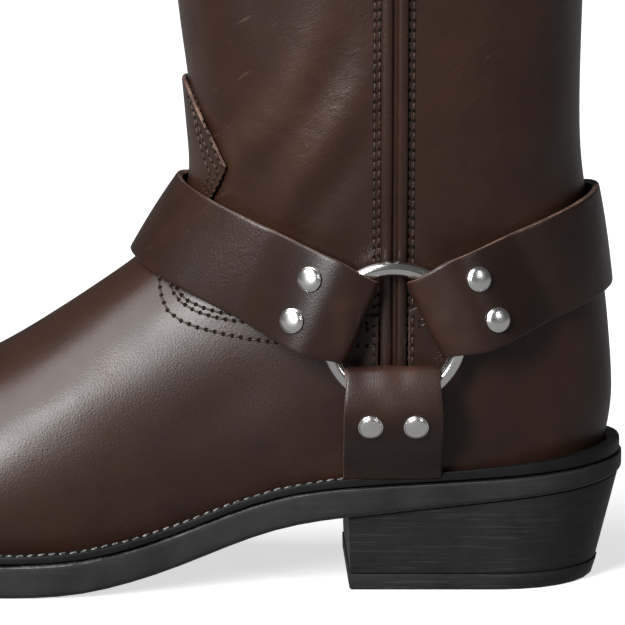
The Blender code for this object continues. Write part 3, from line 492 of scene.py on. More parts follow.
def mark_cut_edges(piece):
    """Narrow faces between two sharp edges are the leather's cut edge."""
    shape = bmesh.new()
    shape.from_mesh(piece.data)
    for face in shape.faces:
        sharp = sum(1 for edge in face.edges if len(edge.link_faces) == 2 and edge.calc_face_angle() > SHARP_TURN)
        narrow = face.calc_area() < CUT_EDGE_WIDTH * MM * max(edge.calc_length() for edge in face.edges)
        face.material_index = 1 if sharp >= 2 and narrow else 0
    shape.to_mesh(piece.data)
    shape.free()


# Soft folds of the shaft and the vamp: height, half of the width, and their line from the side
SHAFT_FOLDS = (
    (1.3, 5.0, ((-44, 182), (-50, 168), (-58, 155), (-67, 143), (-76, 131))),
    (-1.7, 6.0, ((-38, 178), (-43, 164), (-51, 150), (-60, 136), (-69, 124))),
    (1.6, 6.5, ((-31, 168), (-38, 153), (-47, 140), (-56, 127), (-63, 113))),
    (-1.4, 5.0, ((-29, 150), (-37, 138), (-46, 126), (-52, 113))),
    (0.7, 6.0, ((-84, 205), (-81, 185), (-79, 168))),
    (-0.9, 7.0, ((-72, 210), (-68, 190), (-63, 174))),
    (0.9, 9.0, ((-48, 232), (-56, 214), (-62, 200))),
    (-0.8, 10.0, ((10, 190), (12, 168), (16, 148))),
    (0.8, 10.0, ((-2, 178), (1, 160), (8, 140))),
    (-0.7, 6.0, ((28, 132), (22, 124), (12, 118), (2, 116))),
    (0.6, 8.0, ((28, 150), (20, 142), (8, 138))),
)
VAMP_FOLDS = (
    (-0.12, 6.0, ((-100, 92), (-107, 80), (-113, 66))),
    (0.15, 7.0, ((-107, 88), (-115, 76), (-121, 62))),
    (-0.12, 7.0, ((-150, 64), (-152, 52), (-150, 40))),
    (-0.5, 9.0, ((-60, 70), (-72, 60), (-88, 50))),
    (0.4, 7.0, ((-20, 74), (-2, 66), (18, 60))),
)
# Streaks where the pulled leather is lighter, the second a painted highlight along a fold's ridge: strength, half of
# the width, and their line
PULLED_AND_SHEEN_STREAKS = (
    (0.4, 5.0, ((-42, 186), (-49, 168), (-58, 154), (-68, 142), (-80, 127))),
    # A painted highlight along the ridge of the third shaft fold
    (0.15, 9.0, ((-33, 165), (-40, 152), (-50, 138), (-60, 124))),
)


# Folds grow over this distance from the boot's middle, run out between these shares of their line, and are read a
# little shifted for the inner side
SIDE_GROWS_OVER = 12
FOLD_ENDS = (0.04, 0.96)
FOLD_FULLNESS = 0.7
INNER_SHIFT = (0.004, 0, 0.006)


def fold_height(points, folds, side):
    """How far the folds on one side raise each point, in mm."""
    x = points[:, 0] / MM
    z = points[:, 2] / MM
    on_side = np.clip(points[:, 1] * side / (SIDE_GROWS_OVER * MM), 0, 1)
    raised = np.zeros(len(points))
    for height, width, line in folds:
        nearest = np.full(len(points), 1e9)
        along = np.zeros(len(points))
        for i, (start, end) in enumerate(zip(line, line[1:])):
            dx, dz = end[0] - start[0], end[1] - start[1]
            share = np.clip(((x - start[0]) * dx + (z - start[1]) * dz) / (dx * dx + dz * dz), 0, 1)
            distance = np.hypot(x - start[0] - share * dx, z - start[1] - share * dz)
            along = np.where(distance < nearest, (i + share) / (len(line) - 1), along)
            nearest = np.minimum(nearest, distance)
        ends = np.sin(math.pi * np.clip(along, *FOLD_ENDS)) ** FOLD_FULLNESS
        raised += height * ends * np.exp(-((nearest / width) ** 2))
    return raised * on_side


def shape_folds(piece, folds, inner_share):
    """Presses the folds into both sides of a skin, the inner side less."""
    points = points_of(piece)
    normals = normals_of(piece)
    raised = fold_height(points, folds, -1) + inner_share * fold_height(points + INNER_SHIFT, folds, 1)
    outward = np.stack([points[:, 0] - SHAFT_X * MM, points[:, 1], 0 * raised], axis=1)
    facing = np.sign((outward * normals).sum(axis=1))
    place_points(piece, points + normals * (raised * facing * MM)[:, None])


def paint_pull_up_and_sheen(piece, shades):
    """Keeps how light the pulled leather and the painted highlight are at each point, which its finish reads."""
    attribute = piece.data.attributes.new("pull_up_and_sheen", "FLOAT", "POINT")
    attribute.data.foreach_set("value", np.clip(shades, 0, 1).astype(np.float32))


upper = copy_of("upper", "shaft_and_foot")
mark_lining(upper)
soften_edges(upper, 0.7)
smooth_out(upper, 2)
body_skin = skin_of(upper)
shape_folds(upper, SHAFT_FOLDS, 0.7)
upper_points = points_of(upper)
pulled_and_sheen_streaks = fold_height(upper_points, PULLED_AND_SHEEN_STREAKS, -1) + 0.6 * fold_height(upper_points, PULLED_AND_SHEEN_STREAKS, 1)
paint_pull_up_and_sheen(upper, pulled_and_sheen_streaks)
round_shading(upper, 60)
hand_in(upper, "upper", "leather", upper_leather, lining)

panels = []
for node, folds in (("vamp", VAMP_FOLDS), ("counter", ())):
    panel = copy_of(node, f"{node}_panel")
    mark_cut_edges(panel)
    soften_edges(panel, 0.35)
    smooth_out(panel, 2)
    shape_folds(panel, folds, 0.8)
    round_shading(panel, 60)
    hand_in(panel, node, "leather", upper_leather, cut_edge_and_highlight)
    panels.append(panel)

# The groove along the middle of a side seam, pressed into the faces that look outward
GROOVE_X = -24.6
GROOVE_WIDTH = 0.7
GROOVE_DEPTH = 1.2
OUTER_FACES = 0.2

seams = []
for place, side in SIDES:
    seam = copy_of(f"side_seam_{place}", f"raised_seam_{place}")
    smooth_out(seam, 2)
    points = points_of(seam)
    off_groove = (points[:, 0] / MM - GROOVE_X) / GROOVE_WIDTH
    pressed = GROOVE_DEPTH * np.exp(-(off_groove**2)) * (side * normals_of(seam)[:, 1] > OUTER_FACES)
    points[:, 1] -= side * pressed * MM
    place_points(seam, points)
    round_shading(seam, 70)
    hand_in(seam, f"side_seam_{place}", "leather", upper_leather)
    seams.append(seam)

leather_skin = skin_of(upper, *panels, *seams)


# Sole, welt, heel and insole

# Rise of a face's normal below which the face is the walking side, and above which it is the upper edge
DOWNWARD = -0.6
UPWARD = 0.3


def mark_underside(piece, rim=False):
    """The walking side gets the tread's finish, and where rim is set the upper edge gets the rim's, rubbed wear that
    is partly a painted highlight.
    """
    for face in piece.data.polygons:
        face.material_index = 1 if face.normal.z < DOWNWARD else 2 if rim and face.normal.z > UPWARD else 0


outsole = copy_of("outsole", "outsole_black")
soften_edges(outsole, 0.5, angle=30)
smooth_out(outsole, 1)
mark_underside(outsole, rim=True)
round_shading(outsole, 35)
hand_in(outsole, "outsole", "sole", sole_black, tread_black, rim_wear_and_highlight)

stack = copy_of("heel_stack", "heel_block")
soften_edges(stack, 0.18, angle=30)
smooth_out(stack, 1)
round_shading(stack, 35)
hand_in(stack, "heel_stack", "sole", heel_black)

top_lift = copy_of("heel_cap", "top_lift")
soften_edges(top_lift, 0.15, angle=40)
mark_underside(top_lift)
round_shading(top_lift, 35)
hand_in(top_lift, "heel_cap", "heel_cap", heel_black, tread_black)

insole = copy_of("insole", "insole_board")
soften_edges(insole, 0.8, angle=50)
round_shading(insole, 35)
hand_in(insole, "insole", "insole", insole_leather)

# The line inside the boot from which the welt's outer edge is told from its inner one
CORE_FROM_X = -0.2
CORE_TO_X = 0.0
CORE_Y = 0.004

# How much of a strip's top looks up at least, and how much of its edge does at most
TOP_LOOKS_UP = 0.7
EDGE_LOOKS_UP = 0.6


def outer_rim(piece):
    """The points of a strip's upper outer edge, in order round the boot."""
    shape = bmesh.new()
    shape.from_mesh(piece.data)
    after = {}
    for edge in shape.edges:
        if len(edge.link_faces) != 2:
            continue
        low, high = sorted(edge.link_faces, key=lambda face: face.normal.z)
        middle = (edge.verts[0].co + edge.verts[1].co) / 2
        core = Vector((min(max(middle.x, CORE_FROM_X), CORE_TO_X), CORE_Y, 0.0))
        on_top = high.normal.z > TOP_LOOKS_UP and abs(low.normal.z) < EDGE_LOOKS_UP
        if on_top and low.normal.xy.dot((middle - core).xy) > 0:
            for first, second in (edge.verts, reversed(edge.verts)):
                after.setdefault(first.index, []).append(second.index)
    start = min(after)
    order = [start]
    while True:
        ahead = [i for i in after[order[-1]] if i not in order[-2:] and i != start]
        if not ahead:
            break
        order.append(ahead[0])
    shape.verts.ensure_lookup_table()
    points = [shape.verts[i].co.copy() for i in order]
    shape.free()
    return points


welt = copy_of("welt", "welt_strip")
welt_rim = outer_rim(welt)
soften_edges(welt, 0.4, angle=40)
smooth_out(welt, 1)
round_shading(welt, 35)
hand_in(welt, "welt", "welt", welt_black)
welt_skin = skin_of(welt)


# Harness straps

# A strap edge round the boot, seen from the side: x and height of a point of it, its slope, and x of its folded end
INSTEP_LINES = ((-45.4, 74.3, -0.455, -40.3), (-35.1, 104.1, -0.384, -28.1))
HEEL_LINES = ((-9.2, 74.1, 0.357, -9.3), (-17.0, 103.3, 0.356, -22.0))
SOLE_STRAP_EDGES = (-40.2, -9.7)
SOLE_STRAP_FOLD = 73.0
SOLE_STRAP_OVER_WELT = 0.6

RING_CENTRE = (-24.9, 45.0, 83.2)
RING_RADIUS = 20.2
WIRE_RADIUS = 2.3
RING_SEAT = 38.0

# The leather of a strap, how far it stands off the boot, and how far from its fold the ring stops holding it up
LEATHER = 2.4
SKIN_THICKNESS = 2.2
INSTEP_BED = 2.9
HEEL_BED = 2.2
SETTLES_FROM = 12.0
SETTLES_OVER = 25.0
STRAP_END = 38.0
MIDDLE_STATIONS = 56

# The fold round the wire, and the return layer behind it
RETURN_BED = 2.4
RETURN_FROM = 25.0
RETURN_TO = 7.0
FOLD_LEATHER = 2.0
LOOP_RADIUS = WIRE_RADIUS + 0.3
LOOP_TOP = RETURN_BED + FOLD_LEATHER + 2 * LOOP_RADIUS
BEND_LENGTH = 12.0
BEND_LIFT = 1.4
FACE_FROM = 16.0
DRAWN_IN = 2.4
DRAWN_OVER = 15.0
RETURN_NARROWER = 1.3
HANGING_SHARE = 0.4
HANGING_NARROWER = 0.2
HANGING_LAST_STEP = 1.5

# Rays that find the boot's skin
HEEL_AXIS_X = -22.0
RAY_FROM = 0.17
SIDE_RAY_FROM = 0.2
WRAP_BACK = 0.15 * math.pi
WRAP_TURN = 1.3 * math.pi
WRAP_STEPS = 241
LEAST_LEAN = 0.5


def ease(share):
    share = min(max(share, 0.0), 1.0)
    return share * share * (3 - 2 * share)


def fold_path():
    """Round the wire, drawn in softly: distance from the fold, height over the seat, and 1 on the top layer."""
    middle = RETURN_BED + FOLD_LEATHER + LOOP_RADIUS
    path = [(distance, middle - LOOP_RADIUS, 0) for distance in np.linspace(RETURN_FROM, RETURN_TO, 8)]
    reach = FOLD_LEATHER + LOOP_RADIUS
    for angle in np.linspace(0, math.pi / 2, 7)[:-1]:
        path.append((reach - LOOP_RADIUS * math.sin(angle), middle - LOOP_RADIUS * math.cos(angle), 0))
    for angle in np.linspace(0, math.pi / 2, 13):
        height = middle + (LOOP_RADIUS + BEND_LIFT) * math.sin(angle)
        path.append((FOLD_LEATHER + BEND_LENGTH * (1 - math.cos(angle)), height, 1))
    path += [(distance, LOOP_TOP + BEND_LIFT, 1) for distance in np.linspace(FACE_FROM, STRAP_END, 14)]
    return path


def drawn_in(distance, layer):
    """How much narrower the strap is near its fold. The return hides behind the face."""
    return DRAWN_IN * (1 - ease(distance / DRAWN_OVER)) + (0.0 if layer else RETURN_NARROWER)


def wrap_line(line, centre_x, turn, bed):
    """Points round the boot along a tilted line, from its fold on the outer side to the one on the inner side."""
    start_x, start_z, slope, fold_x = line
    start = -math.pi / 2 - WRAP_BACK * turn
    points = []
    for angle in start + np.linspace(0.0, WRAP_TURN * turn, WRAP_STEPS):
        axis = Vector((centre_x, 0.0, start_z + (centre_x - start_x) * slope)) * MM
        way = Vector((math.cos(angle), math.sin(angle), slope * math.cos(angle)))
        length = way.length
        hit, normal, _, _ = body_skin.ray_cast(axis + way * RAY_FROM, -way / length)
        if hit is None:
            continue
        lean = max(LEAST_LEAN, normal.dot(way) / length)
        point = (hit + way / length * bed * MM / lean) / MM
        if (point.x - fold_x) * turn > 0:
            points.append(point)
    steps = [0.0]
    for first, second in zip(points, points[1:]):
        steps.append(steps[-1] + (second - first).length)
    return np.array(steps), np.array([tuple(point) for point in points])


def along_line(wrapped, distance):
    steps, points = wrapped
    return np.array([np.interp(distance, steps, points[:, axis]) for axis in range(3)])


def depth_at(distance, height, layer, bed):
    """How far from the boot's middle the leather lies: on the ring near the fold, on the boot's skin farther off."""
    down = ease((distance - SETTLES_FROM) / SETTLES_OVER)
    lift = 0.0 if layer else FOLD_LEATHER
    return (RING_SEAT + height) * (1 - down) + (bed + lift) * down


def harness_stations(lines, centre_x, turn, bed):
    """Pairs of edge points on the inside of the leather, from one folded end to the other."""
    wrapped = [wrap_line(line, centre_x, turn, bed) for line in lines]
    lengths = [steps[-1] for steps, _ in wrapped]
    path = fold_path()

    def end(side, rows):
        found = []
        for distance, height, layer in rows:
            pair = []
            for one, length in zip(wrapped, lengths):
                point = along_line(one, distance if side < 0 else length - distance)
                depth = depth_at(distance, height, layer, abs(point[1]))
                pair.append(np.array([point[0], side * depth, point[2]]))
            narrow = drawn_in(distance, layer)
            across = (pair[1] - pair[0]) / np.linalg.norm(pair[1] - pair[0])
            found.append((pair[0] + across * narrow, pair[1] - across * narrow))
        return found

    stations = end(-1, path)
    ends = STRAP_END / min(lengths)
    for share in np.linspace(ends, 1 - ends, MIDDLE_STATIONS)[1:-1]:
        stations.append(tuple(along_line(one, share * length) for one, length in zip(wrapped, lengths)))
    stations += end(1, path[::-1])
    return np.array(stations)


def hanging_stations(side, low_point):
    """The short strap from the ring straight down to the welt."""
    last = SOLE_STRAP_FOLD - low_point
    rows = [row for row in fold_path() if row[0] < last - HANGING_LAST_STEP] + [(last, LOOP_TOP, 1)]
    stations = []
    for distance, height, layer in rows:
        pair = []
        narrow = HANGING_SHARE * drawn_in(distance, layer) + HANGING_NARROWER
        for x, inward in zip(SOLE_STRAP_EDGES, (1, -1)):
            z = SOLE_STRAP_FOLD - distance
            hit = body_skin.ray_cast(Vector((x * MM, side * SIDE_RAY_FROM, z * MM)), Vector((0, -side, 0)))[0]
            depth = depth_at(distance, height, layer, abs(hit.y) / MM + HEEL_BED)
            pair.append((x + inward * narrow, side * depth, z))
        stations.append(pair)
    return np.array(stations)


# A strap's surface: its crown, long waves all over, and crumples and lighter patches near the ring. The lighter
# patches are pulled leather and partly a painted highlight of the bend round the ring.
STRAP_COLUMNS = 16
CROWN = 0.35
WAVE = 0.2
WAVE_SCALE = 0.045
NEAR_RING = 21.0
CRUMPLE = 1.1
CRUMPLE_SCALES = (0.16, 0.1, 0.07)
PULLED_AND_SHEEN_ALL_OVER = 0.3
PULLED_AND_SHEEN_IN_PATCHES = 0.6
PATCH_SCALE = 0.13


def strap_piece(name, node, stations):
    """Leather of a real thickness along the stations, slightly crowned, with its cut edges and worn corners."""
    middle = stations.mean(axis=1)
    along = np.gradient(middle, axis=0)
    across = stations[:, 1] - stations[:, 0]
    outward = np.cross(along, across)
    outward /= np.linalg.norm(outward, axis=1, keepdims=True)
    probe = len(stations) // 2
    away = middle[probe] - np.array([RING_CENTRE[0], 0.0, middle[probe][2]])
    if np.dot(outward[probe], away) < 0:
        outward = -outward
    bpy.ops.mesh.primitive_grid_add(x_subdivisions=STRAP_COLUMNS, y_subdivisions=len(stations) - 1)
    strap = bpy.context.object
    strap.name = name
    points = []
    pulled_and_sheen = []
    for pair, out in zip(stations, outward):
        for column in range(STRAP_COLUMNS + 1):
            share = column / STRAP_COLUMNS
            flat = pair[0] + (pair[1] - pair[0]) * share
            from_ring = math.hypot(flat[0] - RING_CENTRE[0], flat[2] - RING_CENTRE[2])
            near = math.exp(-((from_ring / NEAR_RING) ** 4))
            patch = max(0.0, noise.noise(Vector(flat) * PATCH_SCALE))
            # Lighter near the ring: pulled leather, partly a painted highlight of the bend
            pulled_and_sheen.append(near * (PULLED_AND_SHEEN_ALL_OVER + PULLED_AND_SHEEN_IN_PATCHES * patch))
            crown = CROWN * (4 * share * (1 - share))
            wave = WAVE * noise.noise(Vector(flat) * WAVE_SCALE)
            spot = Vector([value * scale for value, scale in zip(flat, CRUMPLE_SCALES)])
            crumple = CRUMPLE * near * noise.noise(spot)
            points.append(flat + out * (LEATHER / 2 + crown + wave + crumple))
    place_points(strap, np.array(points) * MM)
    paint_pull_up_and_sheen(strap, pulled_and_sheen)
    face_outward(strap)
    strap.data.materials.append(strap_leather)
    strap.data.materials.append(cut_edge_and_highlight)
    finish_with(
        strap, "SOLIDIFY", thickness=SKIN_THICKNESS * MM, offset=0.0, material_offset_rim=1, use_even_offset=True
    )
    soften_edges(strap, 0.42, angle=55)
    smooth_out(strap, 1)
    face_outward(strap)
    round_shading(strap, 60)
    hand_in(strap, node, "strap_leather")


strap_piece("instep_harness", "instep_strap", harness_stations(INSTEP_LINES, SHAFT_X, -1, INSTEP_BED))
strap_piece("heel_harness", "heel_strap", harness_stations(HEEL_LINES, HEEL_AXIS_X, 1, HEEL_BED))
for place, side in SIDES:
    lowest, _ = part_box(f"sole_strap_{place}")
    stations = hanging_stations(side, lowest.z / MM + SOLE_STRAP_OVER_WELT)
    strap_piece(f"sole_harness_{place}", f"sole_strap_{place}", stations)


# Rings and rivets

for place, side in SIDES:
    bpy.ops.mesh.primitive_torus_add(
        major_segments=120,
        minor_segments=28,
        major_radius=RING_RADIUS * MM,
        minor_radius=WIRE_RADIUS * MM,
        location=(RING_CENTRE[0] * MM, side * RING_CENTRE[1] * MM, RING_CENTRE[2] * MM),
        rotation=(math.pi / 2, 0.0, 0.0),
    )
    ring = bpy.context.object
    ring.name = f"wire_ring_{place}"
    bpy.ops.object.transform_apply(location=True, rotation=True, scale=True)
    round_shading(ring, 60)
    hand_in(ring, f"ring_{place}", "ring_metal", ring_nickel)

# Domed cap of a rivet, from its rim to its top: radius and height
CAP_STEPS = (
    (3.7, -1.0), (3.82, 0.1), (3.86, 0.3), (3.7, 0.48), (3.52, 0.5), (3.42, 0.72),
    (3.1, 1.02), (2.6, 1.24), (1.95, 1.42), (1.3, 1.52), (0.6, 1.57),
)
CAP_CORNERS = 40
RIVET_LIFT = 0.45


def build_rivet_cap():
    bpy.ops.mesh.primitive_circle_add(vertices=CAP_CORNERS, radius=CAP_STEPS[0][0] * MM, fill_type="NGON")
    cap = bpy.context.object
    bpy.ops.object.mode_set(mode="EDIT")
    bpy.ops.mesh.select_all(action="SELECT")
    for before, after in zip(CAP_STEPS, CAP_STEPS[1:]):
        rise = (0, 0, (after[1] - before[1]) * MM)
        bpy.ops.mesh.extrude_region_move(TRANSFORM_OT_translate={"value": rise})
        share = after[0] / before[0]
        bpy.ops.transform.resize(value=(share, share, 1.0))
    face_outward(cap)
    return cap


def seat_of(node):
    """Where a rivet's flat underside lies, and the way out of the leather."""
    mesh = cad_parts[node].data
    sums = {}
    for face in mesh.polygons:
        key = tuple(round(value, 2) for value in face.normal)
        area, centre = sums.get(key, (0.0, Vector()))
        sums[key] = (area + face.area, centre + face.center * face.area)
    key, (area, centre) = max(sums.items(), key=lambda item: item[1][0])
    return centre / area, -Vector(key).normalized()


rivet_cap = build_rivet_cap()
for node in sorted(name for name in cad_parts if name.startswith("rivet_")):
    seat, out = seat_of(node)
    rivet = rivet_cap.copy()
    rivet.data = rivet_cap.data.copy()
    rivet.name = node.replace("rivet", "rivet_cap")
    bpy.context.scene.collection.objects.link(rivet)
    turned = out.to_track_quat("Z", "Y").to_matrix().to_4x4()
    rivet.data.transform(Matrix.Translation(seat + out * RIVET_LIFT * MM) @ turned)
    round_shading(rivet, 70)
    hand_in(rivet, node, "rivet_metal", rivet_nickel)
bpy.data.objects.remove(rivet_cap)


# Stitching

# A stitch's length as a share of its pitch, its height and how far it stands out as shares of its width, and how far
# its hole lies over the leather
THREAD_SHOWS = 0.78
THREAD_FLATNESS = 0.9
THREAD_PROUD = 0.18
HOLE_PROUD = 0.05
HOLE_CORNERS = 8

# Where the needle starts, and the plane in which a row is given from the side
NEEDLE_FROM = 0.12
SIDE_ROW_Y = 0.06


def build_stitch(length, width):
    """One stitch along X."""
    bpy.ops.mesh.primitive_uv_sphere_add(segments=8, ring_count=6, radius=0.5)
    thread = bpy.context.object
    bpy.ops.object.mode_set(mode="EDIT")
    bpy.ops.mesh.select_all(action="SELECT")
    bpy.ops.transform.resize(value=(length * MM, width * MM, width * THREAD_FLATNESS * MM))
    bpy.ops.object.mode_set(mode="OBJECT")
    points = [vertex.co.copy() for vertex in thread.data.vertices]
    faces = [tuple(face.vertices) for face in thread.data.polygons]
    bpy.data.objects.remove(thread)
    return points, faces


def sew(name, rows, skin, pitch, width, thread, slot="leather", hole_size=0.0, sink=0.1, slant=0.0):
    """Rows of stitches on a skin, thread in material 0 and holes in material 1, with no holes where their size is 0.
    The holes are flat dark discs: painted shade.

    A row is (points, ways), with ways from where the needle comes to each point.
    """
    stitch, faces = build_stitch(pitch * THREAD_SHOWS, width)
    slanted = Matrix.Rotation(math.radians(slant), 3, "Z")
    corners = np.arange(HOLE_CORNERS) * 2 * math.pi / HOLE_CORNERS
    disc = [Vector((math.cos(a), math.sin(a), 0)) * hole_size * MM for a in corners]
    vertices = []
    polygons = []
    kinds = []
    for points, ways in rows:
        landed = []
        for point, way in zip(points, ways):
            hit, normal, _, _ = skin.ray_cast(Vector(point) - Vector(way) * NEEDLE_FROM, Vector(way))
            if hit is not None:
                landed.append((hit, normal))
        if len(landed) < 2:
            continue
        steps = [0.0]
        for (first, _), (second, _) in zip(landed, landed[1:]):
            steps.append(steps[-1] + (second - first).length)
        count = max(2, round(steps[-1] / (pitch * MM)))
        where = np.linspace(0, steps[-1], 2 * count + 1)
        spots = np.array([np.interp(where, steps, [hit[axis] for hit, _ in landed]) for axis in range(3)]).T
        ups = np.array([np.interp(where, steps, [normal[axis] for _, normal in landed]) for axis in range(3)]).T
        for i in range(count):
            middle = Vector(spots[2 * i + 1])
            ahead = (Vector(spots[2 * i + 2]) - Vector(spots[2 * i])).normalized()
            up = Vector(ups[2 * i + 1]).normalized()
            across = up.cross(ahead).normalized()
            up = ahead.cross(across)
            turn = Matrix((ahead, across, up)).transposed()
            start = len(vertices)
            base = middle + up * (width * THREAD_PROUD - sink) * MM
            vertices += [base + turn @ slanted @ point for point in stitch]
            polygons += [tuple(start + j for j in face) for face in faces]
            kinds += [0] * len(faces)
            if hole_size:
                start = len(vertices)
                spot = Vector(spots[2 * i]) + up * HOLE_PROUD * MM
                vertices += [spot + turn @ point for point in disc]
                polygons.append(tuple(start + j for j in range(HOLE_CORNERS)))
                kinds.append(1)
    mesh = bpy.data.meshes.new(name)
    mesh.from_pydata(vertices, [], polygons)
    mesh.polygons.foreach_set("material_index", kinds)
    mesh.shade_smooth()
    piece = bpy.data.objects.new(name, mesh)
    bpy.context.scene.collection.objects.link(piece)
    hand_in(piece, None, slot, thread, needle_hole_shade)


def from_side(line, side, step):
    """A row's points, given from the side as x and height, with the needle coming straight in."""
    points = []
    for (x0, z0), (x1, z1) in zip(line, line[1:]):
        count = max(1, int(math.hypot(x1 - x0, z1 - z0) / step))
        points += [(x0 + (x1 - x0) * i / count, z0 + (z1 - z0) * i / count) for i in range(count)]
    points.append(line[-1])
    return [Vector((x * MM, side * SIDE_ROW_Y, z * MM)) for x, z in points], [Vector((0, -side, 0))] * len(points)


VAMP_ROWS = (
    ((-92.1, 95.8), (-90.6, 92.6), (-88.0, 90.4), (-82.9, 88.4), (-78.0, 87.2), (-60.0, 86.0), (-30.2, 85.3)),
    (
        (-93.6, 96.4), (-92.4, 92.6), (-89.9, 89.8), (-85.5, 87.4), (-80.1, 85.9), (-74.4, 84.9), (-60, 84.1),
        (-30.2, 83.6),
    ),
    (
        (-96.2, 98.0), (-96.7, 94.9), (-95.8, 90.7), (-93.9, 87.1), (-89.9, 84.4), (-84.9, 82.6), (-76.3, 80.7),
        (-67.4, 79.3), (-56.4, 78.4), (-37.8, 78.4), (-30.2, 78.4),
    ),
)
COUNTER_ROWS = (
    ((-17.0, 86.3), (-12.0, 88.5), (8.0, 97.5), (36.0, 103.0)),
    ((-17.0, 84.5), (-12.0, 86.6), (8.0, 95.4), (36.0, 101.0)),
)
TONGUE_ROWS = (
    ((-87.4, 155.0), (-84.6, 149.5), (-82.0, 143.5), (-78.6, 135.0), (-76.2, 130.9), (-78.4, 126.0), (-81.2, 121.0)),
    ((-87.6, 151.5), (-85.6, 146.5), (-83.4, 140.5), (-80.6, 133.6), (-78.3, 130.7), (-80.2, 126.0), (-82.6, 121.8)),
    ((-86.3, 148.0), (-84.9, 141.6), (-82.4, 132.6), (-81.0, 129.6), (-81.8, 126.5), (-83.4, 122.6)),
)
SEAM_X = -24.8
SEAM_OFFSETS = (-6.0, -4.55, 4.45, 5.8)
SEAM_HEIGHTS = (72.5, 318.0)
SEAM_STEP = 2.0
SEAM_ROWS = [[(SEAM_X + offset, height) for height in SEAM_HEIGHTS] for offset in SEAM_OFFSETS]

for place, side in SIDES:
    for name, lines, step, pitch, width, hole_size in (
        ("seam", SEAM_ROWS, SEAM_STEP, 3.1, 0.7, 0.66),
        ("vamp", VAMP_ROWS, 1.0, 2.8, 0.75, 0.74),
        ("counter", COUNTER_ROWS, 1.0, 3.2, 0.75, 0.5),
        ("tongue", TONGUE_ROWS, 1.0, 2.6, 0.6, 0.55),
    ):
        rows = [from_side(line, side, step) for line in lines]
        sew(f"{name}_stitches_{place}", rows, leather_skin, pitch, width, brown_thread, hole_size=hole_size)

COLLAR_ROW = 320.5
COLLAR_AXIS_X = -0.03
COLLAR_REACH = 0.09
COLLAR_POINTS = 240


def round_row(height):
    """A level row round the shaft, with the needle coming from all sides."""
    points = []
    ways = []
    for turn in np.linspace(0.0, 2 * math.pi, COLLAR_POINTS):
        way = Vector((math.cos(turn), math.sin(turn), 0))
        points.append(Vector((COLLAR_AXIS_X, 0, height * MM)) + way * COLLAR_REACH)
        ways.append(-way)
    return points, ways


sew("collar_stitches", [round_row(COLLAR_ROW)], leather_skin, 3.1, 0.75, brown_thread, hole_size=0.5)

STITCH_FROM_EDGE = 1.15
STITCHES_END_X = -0.012


def lockstitch_row(rim):
    """The welt's row, inside its outer edge, from one side of the heel round the toe to the other."""
    turning = sum(a.xy.cross(b.xy) for a, b in zip(rim, rim[1:] + rim[:1]))
    inward = 1 if turning > 0 else -1
    row = []
    for i, point in enumerate(rim):
        ahead = (rim[(i + 1) % len(rim)] - rim[i - 1]).xy.normalized()
        spot = point + Vector((-ahead.y, ahead.x, 0.0)) * inward * STITCH_FROM_EDGE * MM
        if spot.x < STITCHES_END_X:
            row.append(spot)
    gaps = [(point - row[i - 1]).length for i, point in enumerate(row)]
    start = gaps.index(max(gaps))
    row = row[start:] + row[:start]
    return row, [Vector((0, 0, -1))] * len(row)


sew("welt_lockstitch", [lockstitch_row(welt_rim)], welt_skin, 3.3, 0.8, grey_thread, "welt", sink=0.05, slant=24)


# Floor, lights and camera

# The floor's own glow is what the camera sees in its shadows. Leather and metal see a dimmer floor.
WHITE = (1.0, 1.0, 1.0, 1.0)
FLOOR_SIZE = 24.0
FLOOR_GREY = 0.62
FLOOR_GLOW = 0.66
FLOOR_IN_LEATHER = 0.29
UNDER_THE_BOOT = -0.00005


def by_camera_ray(tree, unseen, seen, output):
    """One shader for what the camera sees, and another for what lights the boot and shines in it."""
    in_view = tree.nodes.new("ShaderNodeLightPath").outputs["Is Camera Ray"]
    choice = tree.nodes.new("ShaderNodeMixShader")
    for socket, target in zip((in_view, unseen.outputs[0], seen.outputs[0]), choice.inputs):
        tree.links.new(socket, target)
    tree.links.new(choice.outputs[0], tree.nodes[output].inputs["Surface"])


floor_finish = Finish("pale floor", roughness=0.9, specular=0.0)
floor_finish.shader.inputs["Base Color"].default_value = (FLOOR_GREY, FLOOR_GREY, FLOOR_GREY, 1.0)
floor_finish.shader.inputs["Emission Color"].default_value = WHITE
floor_finish.shader.inputs["Emission Strength"].default_value = FLOOR_GLOW
dim = floor_finish.node("ShaderNodeEmission", {"Color": WHITE, "Strength": FLOOR_IN_LEATHER})
by_camera_ray(floor_finish.tree, dim, floor_finish.shader, "Material Output")
bpy.ops.mesh.primitive_plane_add(size=FLOOR_SIZE, location=(0, 0, UNDER_THE_BOOT))
floor = bpy.context.object
floor.name = "floor"
floor.data.materials.append(floor_finish.material)


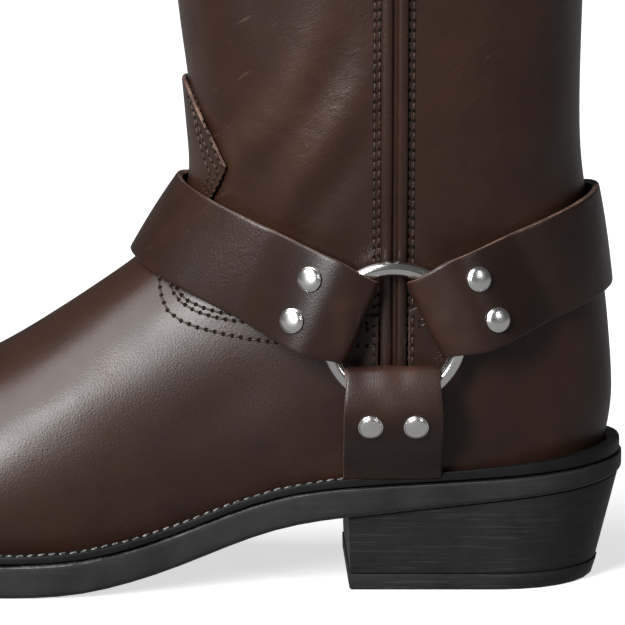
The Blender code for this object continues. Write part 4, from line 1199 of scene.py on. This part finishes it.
def put_lamp(name, kind, power, way):
    """A lamp of a kind that shines along way."""
    lamp = bpy.data.objects.new(name, bpy.data.lights.new(name, kind))
    lamp.data.energy = power
    lamp.rotation_euler = way.to_track_quat("-Z", "Y").to_euler()
    bpy.context.scene.collection.objects.link(lamp)
    return lamp


SKY_POWER = 2.9
SKY_WAY = (0.5, 0.3, -0.81)
SKY_SPREAD = 40

sky = put_lamp("broad sky", "SUN", SKY_POWER, Vector(SKY_WAY))
sky.data.angle = math.radians(SKY_SPREAD)
for name, place, target, size, power in (
    ("left panel", (-0.93, -1.55, 0.88), (-0.08, 0, 0.1), (0.45, 0.9), 54.0),
    ("right strip", (1.1, -1.2, 0.9), (0.0, 0, 0.12), (0.12, 0.8), 3.5),
):
    lamp = put_lamp(name, "AREA", power, Vector(target) - Vector(place))
    lamp.location = place
    lamp.data.shape = "RECTANGLE"
    lamp.data.size, lamp.data.size_y = size

WORLD_LIGHT = 0.08

world = bpy.data.worlds.new("studio")
world.use_nodes = True
background = world.node_tree.nodes["Background"]
background.inputs["Color"].default_value = WHITE
background.inputs["Strength"].default_value = WORLD_LIGHT
backdrop = world.node_tree.nodes.new("ShaderNodeBackground")
backdrop.inputs["Color"].default_value = WHITE
by_camera_ray(world.node_tree, background, backdrop, "World Output")
bpy.context.scene.world = world
bpy.context.scene.view_settings.view_transform = "Standard"

# The camera looks down at the point of the boot that is in the middle of the photograph
SENSOR_WIDTH = 36.0
PHOTO_WIDTH = 625
FOCAL_LENGTH = 4800
LOOKS_AT = (-49.5, 0, 82)
CAMERA_DISTANCE = 1.5
CAMERA_PITCH = 10
CAMERA_REACH = 60.0

camera_data = bpy.data.cameras.new("camera")
camera_data.sensor_width = SENSOR_WIDTH
camera_data.lens = FOCAL_LENGTH / PHOTO_WIDTH * SENSOR_WIDTH
camera = bpy.data.objects.new("camera", camera_data)
pitch = math.radians(CAMERA_PITCH)
camera.location = Vector(LOOKS_AT) * MM + Vector((0, -math.cos(pitch), math.sin(pitch))) * CAMERA_DISTANCE
camera.rotation_euler = (math.pi / 2 - pitch, 0, 0)
camera_data.clip_end = CAMERA_REACH
bpy.context.scene.collection.objects.link(camera)
bpy.context.scene.camera = camera
